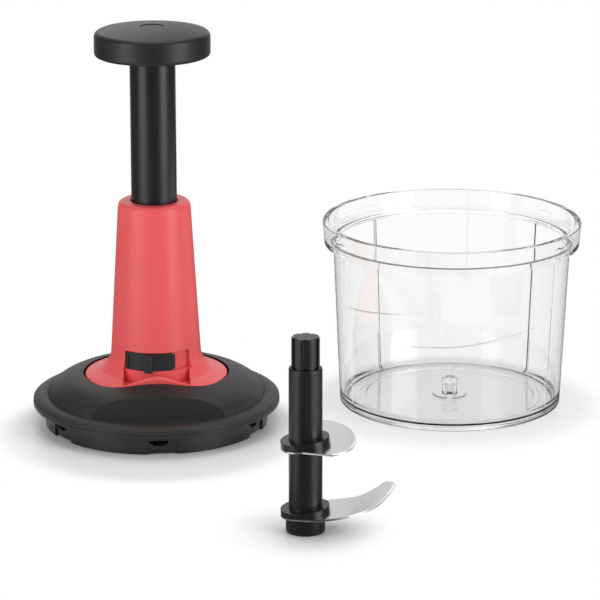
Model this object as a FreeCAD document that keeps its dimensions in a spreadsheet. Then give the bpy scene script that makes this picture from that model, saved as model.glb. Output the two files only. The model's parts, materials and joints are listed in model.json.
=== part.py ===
import FreeCAD, Part
import math
import os
import re
import Sketcher

# A plunger food chopper taken apart on the table: the drive unit with its press knob, the blade
# spindle and the clear bowl. Lengths are millimetres and angles degrees. The origin is the centre
# of the bowl's foot on the table, +Z is up, +X points along the row of pieces and -Y is the front.
# Heights in the drive unit and in the spindle are heights above the table they stand on.

Vector = FreeCAD.Vector

DIMENSIONS = [
    # name, size, meaning
    ("drive_x", -159.4, "drive unit's axis, along the row"),
    ("drive_y", -38.6, "drive unit's axis, front to back"),
    ("drive_turn", 3, "drive unit's turn about its axis"),
    ("spindle_x", -79.6, "spindle's axis, along the row"),
    ("spindle_y", -212.2, "spindle's axis, front to back"),
    ("bowl_turn", -4, "bowl's turn about its axis"),
    ("snug", 0.05, "radial room between pieces that are pressed together"),
    ("running", 0.07, "radial room of a shaft that turns or slides in its bearing"),
    ("free_gap", 0.3, "room between moving pieces that do not bear on each other"),
    # lid
    ("skirt_radius", 59.7, "outer radius of the lid's skirt"),
    ("skirt_height", 11.0, "skirt, from its lower edge to the flange"),
    ("skirt_wall", 1.8, "wall of the skirt"),
    ("flange_radius", 66.1, "outer radius of the flange"),
    ("flange_thick", 1.6, "flange under the dome's rim"),
    ("plate_thick", 2.0, "plate that closes the lid underneath"),
    ("hub_low", 3.6, "lower end of the hub, above the skirt's edge"),
    ("hub_wall", 2.5, "wall of the hub round the output socket"),
    ("cup_wall", 2.0, "wall of the clutch cup"),
    ("pocket_count", 6, "latch pockets round the skirt"),
    ("pocket_span", 15.4, "width of a latch pocket"),
    ("pocket_turn", 2.6, "turn of the latch pockets from the front"),
    ("pocket_depth", 1.0, "depth of a latch pocket"),
    ("pocket_notch", 1.1, "notch in the skirt's edge under a pocket"),
    ("slot_span", 9.8, "window in a latch pocket"),
    ("slot_dip_span", 5.9, "lower step of that window"),
    ("slot_middle", -2.2, "window's middle, from the pocket's middle"),
    ("slot_low", 4.7, "window's lower edge"),
    ("slot_high", 7.4, "window's upper edge"),
    ("dome_radius", 58.8, "radius of the dome at its foot"),
    ("bulge_radius", 57.2, "dome's curve: bulge over its foot"),
    ("bulge_rise", 4.35, "bulge, above the dome's widest level"),
    ("side_radius", 54, "dome's curve: side"),
    ("side_rise", 7.5, "side, above the widest level"),
    ("shoulder_radius", 50.5, "dome's curve: shoulder"),
    ("shoulder_rise", 9.65, "shoulder, above the widest level"),
    ("crest_radius", 46.5, "dome's curve: inside the shoulder"),
    ("crest_rise", 11.35, "inside of the shoulder, above the widest level"),
    ("slope_radius", 43, "dome's curve: slope round the tower"),
    ("slope_rise", 12.3, "slope, above the widest level"),
    ("brink_radius", 38, "dome's curve: brink of the tower's well"),
    ("brink_rise", 13.15, "brink, above the widest level"),
    ("crown_radius", 29, "dome's curve: highest level"),
    ("dome_rise", 14.9, "highest level, above the widest one"),
    ("dome_lift", 1.8, "dome's widest level above its seat"),
    ("dome_wall", 2.2, "wall of the dome"),
    ("rim_rise", 3.6, "dome's rim, above its seat"),
    ("rim_round", 1.2, "rounding of the dome rim's outer edge"),
    ("facet_reach", 46.2, "grip face, from the axis at the rim's level"),
    ("facet_lean", 16, "lean of the grip face"),
    ("ledge_rise", 8.8, "tower's seat, above the dome's seat"),
    ("ledge_thick", 2.0, "ledge under the tower's foot"),
    ("ledge_bore", 22.5, "radius of the hole in the ledge"),
    # tower
    ("foot_radius", 38.1, "outer radius of the tower's foot"),
    ("foot_gap", 1.0, "gap between the foot and the dome"),
    ("foot_edge", 5.5, "height of the foot's upright edge"),
    ("arch_radius", 66, "radius of the hollow in the foot's front"),
    ("arch_reach", 28.3, "hollow's nearest point to the axis"),
    ("arch_round", 20, "rounding at the hollow's corners"),
    ("scoop_half", 17.8, "recess under the lock, to each side of the middle"),
    ("scoop_back", 24.6, "back wall of the recess, from the axis"),
    ("scoop_rise", 6.0, "floor of the recess, above the tower's seat"),
    ("scoop_lip", 1.4, "lip in front of the recess"),
    ("scoop_slope", 0.05, "slope of the recess's sides, sideways for each step outward"),
    ("neck_radius", 23.9, "tower's radius above the flare"),
    ("neck_rise", 19.6, "start of the flare, above the tower's seat"),
    ("flare_arc", 13, "radius of the flare's curve"),
    ("flare_sweep", 58, "sweep of the flare's curve"),
    ("tower_top_radius", 19.1, "tower's radius at its top"),
    ("tower_round", 3.0, "rounding of the tower's top edge"),
    ("tower_roof", 1.9, "roof over the guide bush"),
    ("tower_wall", 2.0, "wall of the foot"),
    ("bore_top_radius", 17.5, "tower's inside at the guide bush"),
    ("bore_low_radius", 20.3, "tower's inside at the lock"),
    ("bore_kink_rise", 13.6, "level where the inside starts to flare, above the seat"),
    ("guide_rib_span", 8, "width of a guide rib in the tower"),
    ("post_radius", 3.2, "screw post in the foot"),
    ("post_pitch", 31.0, "screw posts, from the axis"),
    ("window_rise", 13.1, "lock window's lower edge, above the tower's seat"),
    ("window_height", 9.8, "height of the lock window"),
    ("recess_radius", 21.9, "floor of the lock window"),
    # lock
    ("slider_span", 68.3, "width of the lock slider"),
    ("slider_middle", -9.35, "lock slider's middle when unlocked"),
    ("slider_thick", 1.5, "thickness of the lock slider"),
    ("slider_play", 0.45, "room at each end of the slider's travel in the window"),
    ("rest_span", 20.5, "thumb rests on the slider"),
    ("rest_depth", 0.45, "thumb rests on the slider"),
    ("rest_border", 0.7, "plain border round a thumb rest"),
    ("slider_round", 1.8, "rounding of the slider's corners"),
    ("fin_middle", -9.3, "slider's thumb fin when unlocked"),
    ("fin_span", 9.5, "width of the thumb fin"),
    ("fin_reach", 26.6, "outer face of the thumb fin"),
    ("fin_drop", 0.8, "thumb fin below the slider"),
    ("web_span", 7, "web between the slider and the lock ring"),
    ("web_thick", 3.0, "height of the web"),
    ("lock_turn", 21.8, "turn of the lock"),
    ("ring_wall", 1.9, "wall of the lock ring"),
    ("tab_thick", 2.3, "height of a lock tab"),
    ("tab_reach", 15.2, "inner radius of a lock tab"),
    ("tab_span", 50, "width of a lock tab and of a lug"),
    ("lug_count", 3, "lugs, tabs and guide ribs"),
    # plunger
    ("stroke", 70.0, "travel of the plunger"),
    ("tube_radius", 12.05, "outer radius of the plunger tube"),
    ("tube_wall", 2.0, "wall of the plunger tube"),
    ("tube_plug", 11.0, "closed end of the plunger tube"),
    ("end_gap", 1.0, "room under the plunger when it is down"),
    ("knob_gap", 7.8, "knob above the tower when it is down"),
    ("bush_height", 4.3, "height of the guide bush"),
    ("bush_wall", 3.0, "wall of the guide bush"),
    ("collar_radius", 14.8, "radius of the stop collar"),
    ("collar_thick", 2.2, "thickness of the stop collar"),
    ("collar_rise", 9.2, "stop collar, above the tube's lower end"),
    ("lug_radius", 17.2, "radius over the stop collar's lugs"),
    ("nut_flange", 1.5, "flange of the drive nut"),
    ("nut_height", 8.0, "drive nut inside the tube"),
    ("spring_wire", 1.2, "wire of the return spring, across its corners"),
    ("spring_radius", 13.6, "mean radius of the return spring"),
    ("spring_coils", 8, "turns of the return spring"),
    ("wire_sides", 8, "flats round the spring's wire"),
    ("knob_radius", 30.5, "outer radius of the knob"),
    ("knob_side", 12.6, "knob's underside to the start of its crown"),
    ("knob_crown", 3.0, "rise of the knob's crown"),
    ("knob_wall", 2.2, "wall of the knob"),
    ("knob_round_top", 3.2, "rounding of the knob's upper edge"),
    ("knob_round_low", 2.0, "rounding of the knob's lower edge"),
    ("knob_hub_wall", 2.4, "wall of the hub round the tube's end"),
    ("tube_in_knob", 6.4, "length of tube inside the knob"),
    ("cap_radius", 6.2, "radius of the knob's screw cap"),
    ("cap_thick", 1.8, "thickness of the knob's screw cap"),
    ("cap_sink", 0.5, "cap below the knob's crown"),
    # drive train
    ("twist_side", 7.4, "side of the square twisted rod"),
    ("twist_lead", 40.0, "rise of the rod's twist in one turn"),
    ("twist_gap", 0.25, "room between the rod and the nut"),
    ("rod_over_nut", 2.2, "rod above the nut when the plunger is up"),
    ("journal_radius", 6.3, "round neck of the rod in the clutch cover"),
    ("clutch_radius", 13.4, "outer radius of the clutch"),
    ("tooth_count", 8, "teeth of the clutch"),
    ("tooth_height", 2.0, "height of a clutch tooth"),
    ("tooth_width", 5.0, "width of a clutch tooth"),
    ("tooth_inner", 7.6, "inner radius of the clutch teeth"),
    ("mesh_gap", 0.2, "room between the two rows of clutch teeth"),
    ("driver_thick", 2.0, "disc that carries the rod's clutch teeth"),
    ("washer_thick", 0.6, "thrust washer"),
    ("washer_radius", 12.0, "outer radius of the thrust washer"),
    ("washer_gap", 0.1, "room on each side of the thrust washer"),
    ("cover_thick", 2.2, "clutch cover"),
    ("socket_low", 5.8, "lower end of the output socket"),
    ("socket_radius", 10.5, "outer radius of the output socket"),
    ("socket_depth", 17.0, "depth of the output socket"),
    ("socket_roof", 1.7, "end wall of the output socket"),
    ("socket_flange", 2.2, "flange of the output socket"),
    ("spline_gap", 0.25, "room between the spline and its socket"),
    # screws
    ("ear_pitch", 17.6, "clutch cover's screws, from the axis"),
    ("ear_radius", 2.4, "screw ears of the clutch cover"),
    ("cover_screw_radius", 1.1, "shank of a clutch cover screw"),
    ("cover_screw_length", 8.0, "shank of a clutch cover screw"),
    ("tower_screw_radius", 1.5, "shank of a tower screw"),
    ("tower_screw_length", 6.5, "shank of a tower screw"),
    ("knob_screw_radius", 1.6, "shank of the knob screw"),
    ("knob_screw_length", 13.0, "shank of the knob screw"),
    ("head_ratio", 2.0, "screw head's radius in shank radii"),
    ("head_height", 1.7, "height of a screw head"),
    # blade unit
    ("spline_radius", 6.9, "outer radius of the fluted core"),
    ("flute_count", 7, "flutes round the core"),
    ("flute_radius", 1.5, "radius of a flute"),
    ("flute_pitch", 7.0, "flutes, from the axis"),
    ("flute_turn", 11.4, "first flute, from the +X side"),
    ("core_height", 98.5, "top of the fluted core"),
    ("pip_depth", 0.5, "centre mark in the core's top"),
    ("pip_radius", 0.5, "centre mark in the core's top"),
    ("crown_round", 0.7, "rounding of the core's top"),
    ("foot_sleeve_radius", 9.6, "spindle's foot"),
    ("foot_sleeve_height", 9.0, "spindle's foot"),
    ("foot_floor", 1.0, "ring under the core in the foot"),
    ("sleeve_radius", 8.2, "sleeves round the core"),
    ("sleeve_top", 83.2, "top of the upper sleeve"),
    ("sleeve_round", 0.8, "rounding of the upper sleeve's top"),
    ("collar_disc_radius", 12.0, "collars over the blades"),
    ("lower_disc_thick", 2.6, "collar over the lower blade"),
    ("upper_disc_thick", 3.2, "collar over the upper blade"),
    ("blade_thick", 0.8, "blades"),
    ("hub_ring_radius", 12.3, "blades round the core"),
    ("lower_tilt", 6, "lower blade's rise towards its tip"),
    ("upper_tilt", 7.5, "upper blade's rise towards its tip"),
    ("upper_blade_height", 43.4, "upper blade's underside at the axis"),
    ("bevel_width", 0.8, "ground edge of the blades, across"),
    ("bevel_depth", 0.35, "ground edge of the blades, down"),
    ("lower_reach", 53.0, "lower blade's tip, from the axis"),
    ("upper_reach", 35.1, "upper blade's tip, from the axis"),
    ("bush_bore", 4.28, "bore of the pivot bush"),
    ("pivot_wall", 0.7, "wall of the pivot bush"),
    ("pivot_depth", 9.6, "depth of the pivot in the spindle"),
    # bowl
    ("bowl_height", 101.2, "top of the bowl's rim"),
    ("lid_room", 0.5, "radial room round the lid's flange"),
    ("rim_radius", 70.0, "outer radius of the rim"),
    ("band_radius", 69.0, "outer radius at the foot of the band"),
    ("band_height", 12.6, "band round the mouth"),
    ("collar_depth", 9.6, "lid's shelf, below the rim"),
    ("body_radius", 64.2, "outer radius under the band"),
    ("base_radius", 60.2, "outer radius on the table"),
    ("bowl_wall", 2.4, "wall of the bowl"),
    ("floor_height", 3.2, "floor inside, above the table"),
    ("floor_step", 0.6, "step in the floor"),
    ("step_radius", 46.0, "radius of the step in the floor"),
    ("recess_height", 1.2, "hollow under the floor"),
    ("hollow_radius", 49.6, "radius of the hollow under the floor"),
    ("pad_radius", 9.2, "pad round the pin"),
    ("pin_radius", 4.2, "radius of the pivot pin"),
    ("pin_height", 8.8, "pivot pin, above its pad"),
    ("pin_core_radius", 2.4, "hollow inside the pin"),
    ("pin_core_height", 9.6, "top of the hollow inside the pin"),
    ("rib_thick", 1.2, "ribs down the inside"),
    ("rib_depth", 1.0, "ribs down the inside"),
    ("rib_top_gap", 2.2, "ribs, below the shelf"),
    ("front_rib", 61, "front ribs, from the bowl's front"),
    ("back_rib", 133, "back ribs, from the bowl's front"),
    ("bead_span", 19, "snap beads over the flange"),
    ("bead_height", 1.4, "snap beads over the flange"),
    ("bead_depth", 0.6, "snap beads over the flange"),
    ("base_round", 2.0, "rounding round the base"),
    ("floor_round", 4.0, "rounding between wall and floor"),
    ("edge_round", 0.6, "small roundings"),
]

NAMES = {name for name, _, _ in DIMENSIONS}

# Levels of the drive unit, from the table up.
SEAT = "(skirt_height + flange_thick)"
LEDGE = f"({SEAT} + ledge_rise)"
PLATE = f"({SEAT} - plate_thick)"
DOME_LEVEL = f"({SEAT} + dome_lift)"
RIM_LEVEL = f"({SEAT} + rim_rise)"
TEETH = "(socket_low + socket_depth + socket_roof)"
SOCKET_FLANGE = f"({TEETH} - socket_flange)"
CUP_FLOOR = f"({SOCKET_FLANGE} - free_gap)"
DRIVER = f"({TEETH} + tooth_height + mesh_gap)"
WASHER = f"({DRIVER} + driver_thick + washer_gap)"
COVER = f"({WASHER} + washer_thick + washer_gap)"
SPRING_SEAT = f"({COVER} + cover_thick)"
NUT = f"({SPRING_SEAT} + end_gap + stroke)"
TUBE = f"({NUT} + nut_flange)"
COLLAR = f"({TUBE} + collar_rise)"
BUSH = f"({COLLAR} + collar_thick + free_gap)"
TOWER_TOP = f"({BUSH} + bush_height + tower_roof)"
KNOB = f"({TOWER_TOP} + stroke + knob_gap)"
KNOB_TOP = f"({KNOB} + knob_side + knob_crown)"
TUBE_TOP = f"({KNOB} + tube_in_knob)"
NECK = f"({LEDGE} + neck_rise)"
WINDOW = f"({LEDGE} + window_rise)"
KINK = f"({LEDGE} + bore_kink_rise)"
WINDOW_TOP = f"({WINDOW} + window_height)"
SCREW_SEAT = f"({TUBE_TOP} + knob_wall)"
CAP = f"({KNOB_TOP} - cap_sink - cap_thick)"
TAB = f"({COLLAR} - stroke + collar_thick + free_gap)"
WEB = f"({WINDOW} + 0.5*window_height - 0.5*web_thick)"

# Radii of the drive unit.
TUBE_BORE = "(tube_radius - tube_wall)"
HUB_BORE = "(socket_radius + running)"
HUB_RADIUS = f"({HUB_BORE} + hub_wall)"
CUP_BORE = "(clutch_radius + free_gap)"
CUP_RADIUS = f"({CUP_BORE} + cup_wall)"
DOME_RIM = "(flange_radius - 2*snug)"
BUSH_BORE = "(tube_radius + running)"
BUSH_RADIUS = f"({BUSH_BORE} + bush_wall)"
RING_RADIUS = "(bore_low_radius - free_gap)"
RING_BORE = f"({RING_RADIUS} - ring_wall)"
KNOB_HUB = "(tube_radius + snug + knob_hub_wall)"

# Levels and radii of the blade unit.
LOWER_TOP = "(foot_sleeve_height + blade_thick/cos(lower_tilt))"
UPPER_TOP = "(upper_blade_height + blade_thick/cos(upper_tilt))"
SLEEVE_BORE = "(spline_radius + snug)"
CORE_BORE = "(bush_bore + pivot_wall + snug)"

# Levels and radii of the bowl.
SHELF = "(bowl_height - collar_depth)"
BAND = "(bowl_height - band_height)"
COLLAR_BORE = "(flange_radius + lid_room)"
FLANGE_TOP = f"({SHELF} + flange_thick + 0.5*rim_rise)"
WALL_SLOPE = f"((body_radius - base_radius)/{BAND})"

document = FreeCAD.newDocument("plunger_food_chopper")
sheet = document.addObject("Spreadsheet::Sheet", "Dimensions")


def fill_sheet():
    """Write each driving dimension to a cell of its own, named by its alias."""
    for row, (name, size, meaning) in enumerate(DIMENSIONS, start=1):
        sheet.set(f"A{row}", meaning)
        sheet.set(f"B{row}", str(size))
        sheet.setAlias(f"B{row}", name)
    document.recompute()


def linked(formula):
    """The formula with every dimension's name pointing at its cell of the sheet."""
    def cell(word):
        return f"{sheet.Name}.{word[0]}" if word[0] in NAMES else word[0]
    return re.sub(r"[a-z_]+", cell, formula)


def number(formula):
    """The formula's value now."""
    return float(sheet.evalExpression(formula))


def bind(item, setting, formula):
    """Tie one setting of an object to a formula of the sheet."""
    item.setExpression(setting, linked(formula))


# ---- sketches and PartDesign features ----

def new_body(label):
    """An empty body whose label names the sub-part."""
    body = document.addObject("PartDesign::Body", label)
    body.Label = label
    return body


def new_sketch(body, name, plane, height="0", turn="0"):
    """A sketch on one of the body's own planes, lifted along its normal and turned about its y axis."""
    sketch = body.newObject("Sketcher::SketchObject", f"{name}_sketch")
    support = next(item for item in body.Origin.OriginFeatures if item.Role == plane)
    sketch.AttachmentSupport = [(support, "")]
    sketch.MapMode = "FlatFace"
    turned = FreeCAD.Rotation(Vector(0, 1, 0), number(turn))
    sketch.AttachmentOffset = FreeCAD.Placement(Vector(0, 0, number(height)), turned)
    bind(sketch, "AttachmentOffset.Base.z", height)
    bind(sketch, "AttachmentOffset.Rotation.Angle", turn)
    return sketch


def hold_point(sketch, geometry, point, corner):
    """Hold a point of the sketch at the corner's formulas (x, y), from the sketch's origin."""
    for kind, formula in zip(("DistanceX", "DistanceY"), corner):
        constraint = Sketcher.Constraint(kind, -1, 1, geometry, point, number(formula))
        index = sketch.addConstraint(constraint)
        bind(sketch, f"Constraints[{index}]", formula)


def hold_radius(sketch, geometry, formula):
    """Hold the radius of an arc or a circle."""
    index = sketch.addConstraint(Sketcher.Constraint("Radius", geometry, number(formula)))
    bind(sketch, f"Constraints[{index}]", formula)


def spot(corner):
    """A corner's formulas as a point."""
    return Vector(number(corner[0]), number(corner[1]), 0)


def end_at(sketch, geometry, place):
    """Which end of a line or an arc lies at a place."""
    return 1 if sketch.getPoint(geometry, 1).distanceToPoint(place) < 1e-6 else 2


def smooth_middle(sketch, before, start, finish):
    """The middle of the arc between two points that runs on from an arc without a kink."""
    outward = (start - sketch.Geometry[before].Center).normalize()
    chord = finish - start
    reach = chord.dot(chord) / (2 * chord.dot(outward))
    centre = start + outward * reach
    return centre + ((start + finish) / 2 - centre).normalize() * abs(reach)


def outline(sketch, corners):
    """A closed outline, as the numbers of its pieces. A corner is (x, y), reached by a line,
    (x, y, (x, y)), reached by an arc through the second point, or (x, y, "smooth"), reached by an
    arc that runs on from the arc before it."""
    ends = []
    for before, corner in zip(corners[-1:] + corners[:-1], corners):
        start, finish = spot(before), spot(corner)
        if len(corner) == 2:
            geometry = sketch.addGeometry(Part.LineSegment(start, finish))
        elif corner[2] == "smooth":
            middle = smooth_middle(sketch, ends[-1][0], start, finish)
            geometry = sketch.addGeometry(Part.Arc(start, middle, finish))
        else:
            geometry = sketch.addGeometry(Part.Arc(start, spot(corner[2]), finish))
            middle = sketch.addGeometry(Part.Point(spot(corner[2])), True)
            hold_point(sketch, middle, 1, corner[2])
            sketch.addConstraint(Sketcher.Constraint("PointOnObject", middle, 1, geometry))
        ends.append((geometry, end_at(sketch, geometry, start), end_at(sketch, geometry, finish)))
    for index, corner in enumerate(corners):
        following = (index + 1) % len(corners)
        kind = "Tangent" if corners[following][2:] == ("smooth",) else "Coincident"
        piece, _, finish = ends[index]
        hold_point(sketch, piece, finish, corner)
        sketch.addConstraint(Sketcher.Constraint(kind, piece, finish, *ends[following][:2]))
    return [geometry for geometry, _, _ in ends]


def circle(sketch, radius, x="0", y="0"):
    """A circle of the sketch."""
    geometry = sketch.addGeometry(Part.Circle(spot((x, y)), Vector(0, 0, 1), number(radius)))
    hold_radius(sketch, geometry, radius)
    hold_point(sketch, geometry, 3, (x, y))


def spin(body, name, corners, azimuth="90", span="360", groove=False):
    """Turn a half section (radius, height) about Z, all the way round or over a span in the middle
    of which the azimuth lies. Azimuth 0 is the front, and it grows towards +X."""
    sketch = new_sketch(body, name, "XZ_Plane", turn=f"{azimuth} - 90")
    outline(sketch, corners)
    feature = body.newObject("PartDesign::Groove" if groove else "PartDesign::Revolution", name)
    feature.Profile = sketch
    feature.ReferenceAxis = (sketch, ["V_Axis"])
    feature.Midplane = True
    bind(feature, "Angle", span)
    return feature


def box_section(inner, outer, low, high):
    """The half section of a ring with square edges."""
    return [(inner, low), (outer, low), (outer, high), (inner, high)]


def extrude(body, sketch, name, length, pocket=False):
    """Pad a sketch along its normal, or cut a pocket along it."""
    feature = body.newObject("PartDesign::Pocket" if pocket else "PartDesign::Pad", name)
    feature.Profile = sketch
    if pocket:
        feature.Reversed = True
    bind(feature, "Length", length)
    return feature


def repeat_round(body, feature, name, count):
    """Repeat a feature all the way round the body's Z axis."""
    document.recompute()
    pattern = body.newObject("PartDesign::PolarPattern", name)
    pattern.Originals = [feature]
    axis = next(item for item in body.Origin.OriginFeatures if item.Role == "Z_Axis")
    pattern.Axis = (axis, [""])
    pattern.Angle = 360
    bind(pattern, "Occurrences", count)
    body.Tip = pattern
    return pattern


def circles_at(shape, places):
    """The names of the circular edges about Z with these radii and heights."""
    wanted = [(number(radius), number(height)) for radius, height in places]
    names = []
    for index, edge in enumerate(shape.Edges, start=1):
        if not isinstance(edge.Curve, Part.Circle):
            continue
        centre = edge.Curve.Center
        if math.hypot(centre.x, centre.y) > 1e-4:
            continue
        if any(abs(edge.Curve.Radius - r) < 1e-4 and abs(centre.z - z) < 1e-4 for r, z in wanted):
            names.append(f"Edge{index}")
    return names


def dress(body, kind, name, size, edges):
    """Round or bevel edges of the body's tip."""
    if not edges:
        raise ValueError(f"{body.Label}: no edge for {name}")
    base = body.Tip
    feature = body.newObject(f"PartDesign::{kind}", name)
    feature.Base = (base, edges)
    bind(feature, "Radius" if kind == "Fillet" else "Size", size)
    return feature


def round_circles(body, name, radius, places):
    """Round the body's circular edges about Z at these radii and heights."""
    document.recompute()
    return dress(body, "Fillet", name, radius, circles_at(body.Tip.Shape, places))


# ---- Part primitives and booleans ----

def put(item, x="0", y="0", z="0"):
    """Place a primitive by formulas."""
    for axis, formula in zip("xyz", (x, y, z)):
        bind(item, f"Placement.Base.{axis}", formula)
    return item


def cylinder(name, radius, height, x="0", y="0", z="0"):
    """An upright cylinder from its lower face."""
    item = document.addObject("Part::Cylinder", name)
    bind(item, "Radius", radius)
    bind(item, "Height", height)
    return put(item, x, y, z)


def polar(radius, angle):
    """The x and y formulas of a point at an azimuth from the front, growing towards +X."""
    return f"{radius}*sin({angle})", f"-{radius}*cos({angle})"


def join(label, pieces):
    """One solid from pieces that overlap."""
    item = document.addObject("Part::MultiFuse", label)
    item.Shapes = pieces
    item.Refine = True
    return item


def cut(label, base, *tools):
    """The base without the tools."""
    item = document.addObject("Part::Cut", label)
    item.Base = base
    item.Tool = tools[0] if len(tools) == 1 else join(f"{label}_tools", list(tools))
    return item


def overlap(label, first, second):
    """What two solids share."""
    item = document.addObject("Part::Common", label)
    item.Base = first
    item.Tool = second
    return item


def group(label, pieces):
    """Like pieces kept as separate solids of one sub-part."""
    item = document.addObject("Part::Compound", label)
    item.Links = pieces
    return item


def screw(name, radius, length, height, up, x="0", y="0"):
    """A pan-head screw at its head's seat: its shank points up, or down."""
    head = f"({radius}*head_ratio)"
    if up:
        shank = cylinder(f"{name}_shank", radius, length, x, y, height)
        top = cylinder(f"{name}_head", head, "head_height", x, y, f"{height} - head_height")
    else:
        shank = cylinder(f"{name}_shank", radius, length, x, y, f"{height} - {length}")
        top = cylinder(f"{name}_head", head, "head_height", x, y, height)
    return join(name, [shank, top])


# ---- lid ----

def build_lid_base():
    """Skirt, flange, closing plate, hub and clutch cup: the lid's lower moulding."""
    body = new_body("lid_base_body")
    inner = "(skirt_radius - skirt_wall)"
    spin(body, "section", [
        (HUB_BORE, "hub_low"),
        (HUB_RADIUS, "hub_low"),
        (HUB_RADIUS, PLATE),
        (inner, PLATE),
        (inner, "0"),
        ("skirt_radius", "0"),
        ("skirt_radius", "skirt_height"),
        ("flange_radius", "skirt_height"),
        ("flange_radius", SEAT),
        (HUB_RADIUS, SEAT),
        (HUB_RADIUS, f"{CUP_FLOOR} - cup_wall - hub_wall"),
        (CUP_RADIUS, f"{CUP_FLOOR} - cup_wall"),
        (CUP_RADIUS, COVER),
        (CUP_BORE, COVER),
        (CUP_BORE, CUP_FLOOR),
        (HUB_BORE, CUP_FLOOR),
    ])
    round_circles(body, "flange_rounding", "0.5*edge_round", [("flange_radius", "skirt_height")])
    round_circles(body, "skirt_rounding", "edge_round", [("skirt_radius", "0")])
    floor = "(skirt_radius - pocket_depth)"
    within = "(skirt_radius - 1.5*skirt_wall)"
    beyond = "(skirt_radius + pocket_depth)"
    cuts = [
        ("pocket", box_section(floor, beyond, "-pocket_depth", "slot_high + pocket_notch"),
         "pocket_turn", "pocket_span"),
        ("notch", box_section(within, beyond, "-pocket_depth", "pocket_notch"),
         "pocket_turn", "pocket_span"),
        ("slot", box_section(within, beyond, "slot_low + pocket_depth", "slot_high"),
         "pocket_turn + slot_middle", "slot_span"),
        ("slot_dip", box_section(within, beyond, "slot_low", "slot_high"),
         "pocket_turn + slot_middle", "slot_dip_span"),
    ]
    for name, corners, azimuth, span in cuts:
        feature = spin(body, name, corners, azimuth, span, groove=True)
        repeat_round(body, feature, f"{name}_pattern", "pocket_count")
    bosses = []
    holes = []
    for index in range(3):
        x, y = polar("ear_pitch", f"{index}*120")
        bosses.append(cylinder(f"cover_boss_{index + 1}", "ear_radius", f"{COVER} - {SEAT}", x, y, SEAT))
        holes.append(cylinder(f"cover_boss_hole_{index + 1}", "cover_screw_radius + snug",
                              "cover_screw_length + free_gap", x, y,
                              f"{SPRING_SEAT} - cover_screw_length - free_gap"))
    return cut("lid_base", join("lid_base_whole", [body] + bosses), *holes)


def foot_outline(body, name, grow, low, high, rim_margin):
    """A pad over the foot's plan: a circle with a rounded hollow in its front, grown by a margin, and
    by a further margin round its circle alone."""
    sketch = new_sketch(body, name, "XY_Plane", height=low)
    radius = number(f"foot_radius + {grow} + {rim_margin}")
    arch = number(f"arch_radius - ({grow})")
    small = number(f"arch_round + {grow}")
    arch_centre = Vector(0, -number("arch_reach + arch_radius"), 0)
    side_x, side_y = circle_crossing(radius - small, arch + small, arch_centre.y)
    right = Vector(side_x, side_y, 0)
    outer = Vector(right).normalize() * radius
    inner = right + (arch_centre - right).normalize() * small
    corner_mid = right + ((outer - right) + (inner - right)).normalize() * small
    rim = sketch.addGeometry(Part.Arc(outer, Vector(0, radius, 0), across(outer)))
    hollow = sketch.addGeometry(Part.Arc(inner, arch_centre + Vector(0, arch, 0), across(inner)))
    corner_right = sketch.addGeometry(Part.Arc(outer, corner_mid, inner))
    corner_left = sketch.addGeometry(Part.Arc(across(outer), across(corner_mid), across(inner)))
    joints = [(corner_right, outer, inner), (corner_left, across(outer), across(inner))]
    for corner, at_outer, at_inner in joints:
        for other, place in ((rim, at_outer), (hollow, at_inner)):
            sketch.addConstraint(Sketcher.Constraint("Tangent", corner, end_at(sketch, corner, place),
                                                     other, end_at(sketch, other, place)))
        hold_radius(sketch, corner, f"arch_round + {grow}")
    hold_radius(sketch, rim, f"foot_radius + {grow} + {rim_margin}")
    hold_radius(sketch, hollow, f"arch_radius - ({grow})")
    hold_point(sketch, rim, 3, ("0", "0"))
    hold_point(sketch, hollow, 3, ("0", "-(arch_reach + arch_radius)"))
    return extrude(body, sketch, name, f"({high}) - ({low})")


def across(point):
    """The point on the other side of the YZ plane."""
    return Vector(-point.x, point.y, point.z)


def circle_crossing(first, second, centre_y):
    """Where a circle about the origin meets one about (0, centre_y), on the +X side."""
    y = (first**2 - second**2 + centre_y**2) / (2 * centre_y)
    return math.sqrt(first**2 - y**2), y


def foot_prism(name, grow, low, high, rim_margin="0"):
    """The foot's plan as an upright solid."""
    body = new_body(name)
    foot_outline(body, f"{name}_pad", grow, low, high, rim_margin)
    return body


def dome_point(radius, rise, lean, inset):
    """A point of the dome's curve, moved inward by an inset where the surface leans by an angle."""
    return (f"{radius} - {inset}*sin({lean})", f"{DOME_LEVEL} + {rise} - {inset}*cos({lean})")


def dome_solid(name, inset):
    """The dome filled in, smaller all round by an inset, with its grip face."""
    curve = new_body(f"{name}_curve")
    crown = dome_point("crown_radius", "dome_rise", 10, inset)
    spin(curve, f"{name}_section", [
        ("0", f"{SEAT} - {inset}"),
        (f"dome_radius - {inset}", f"{SEAT} - {inset}"),
        (f"dome_radius - {inset}", DOME_LEVEL),
        dome_point("side_radius", "side_rise", 38, inset)
        + (dome_point("bulge_radius", "bulge_rise", 60, inset),),
        dome_point("crest_radius", "crest_rise", 18, inset)
        + (dome_point("shoulder_radius", "shoulder_rise", 27, inset),),
        dome_point("brink_radius", "brink_rise", 8, inset)
        + (dome_point("slope_radius", "slope_rise", 12, inset),),
        crown,
        ("0", crown[1]),
    ])
    front = new_body(f"{name}_front")
    sketch = new_sketch(front, f"{name}_facet", "YZ_Plane")
    reach = f"(facet_reach - {inset}/cos(facet_lean))"
    low = f"({RIM_LEVEL} - {inset})"
    outline(sketch, [
        (f"-2*{reach}", low),
        (f"-{reach}", low),
        (f"-{reach} + 2*dome_rise*tan(facet_lean)", f"{low} + 2*dome_rise"),
        (f"-2*{reach}", f"{low} + 2*dome_rise"),
    ])
    slab = extrude(front, sketch, f"{name}_facet_pad", "4*dome_radius")
    slab.Midplane = True
    return cut(name, curve, front)


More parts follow.
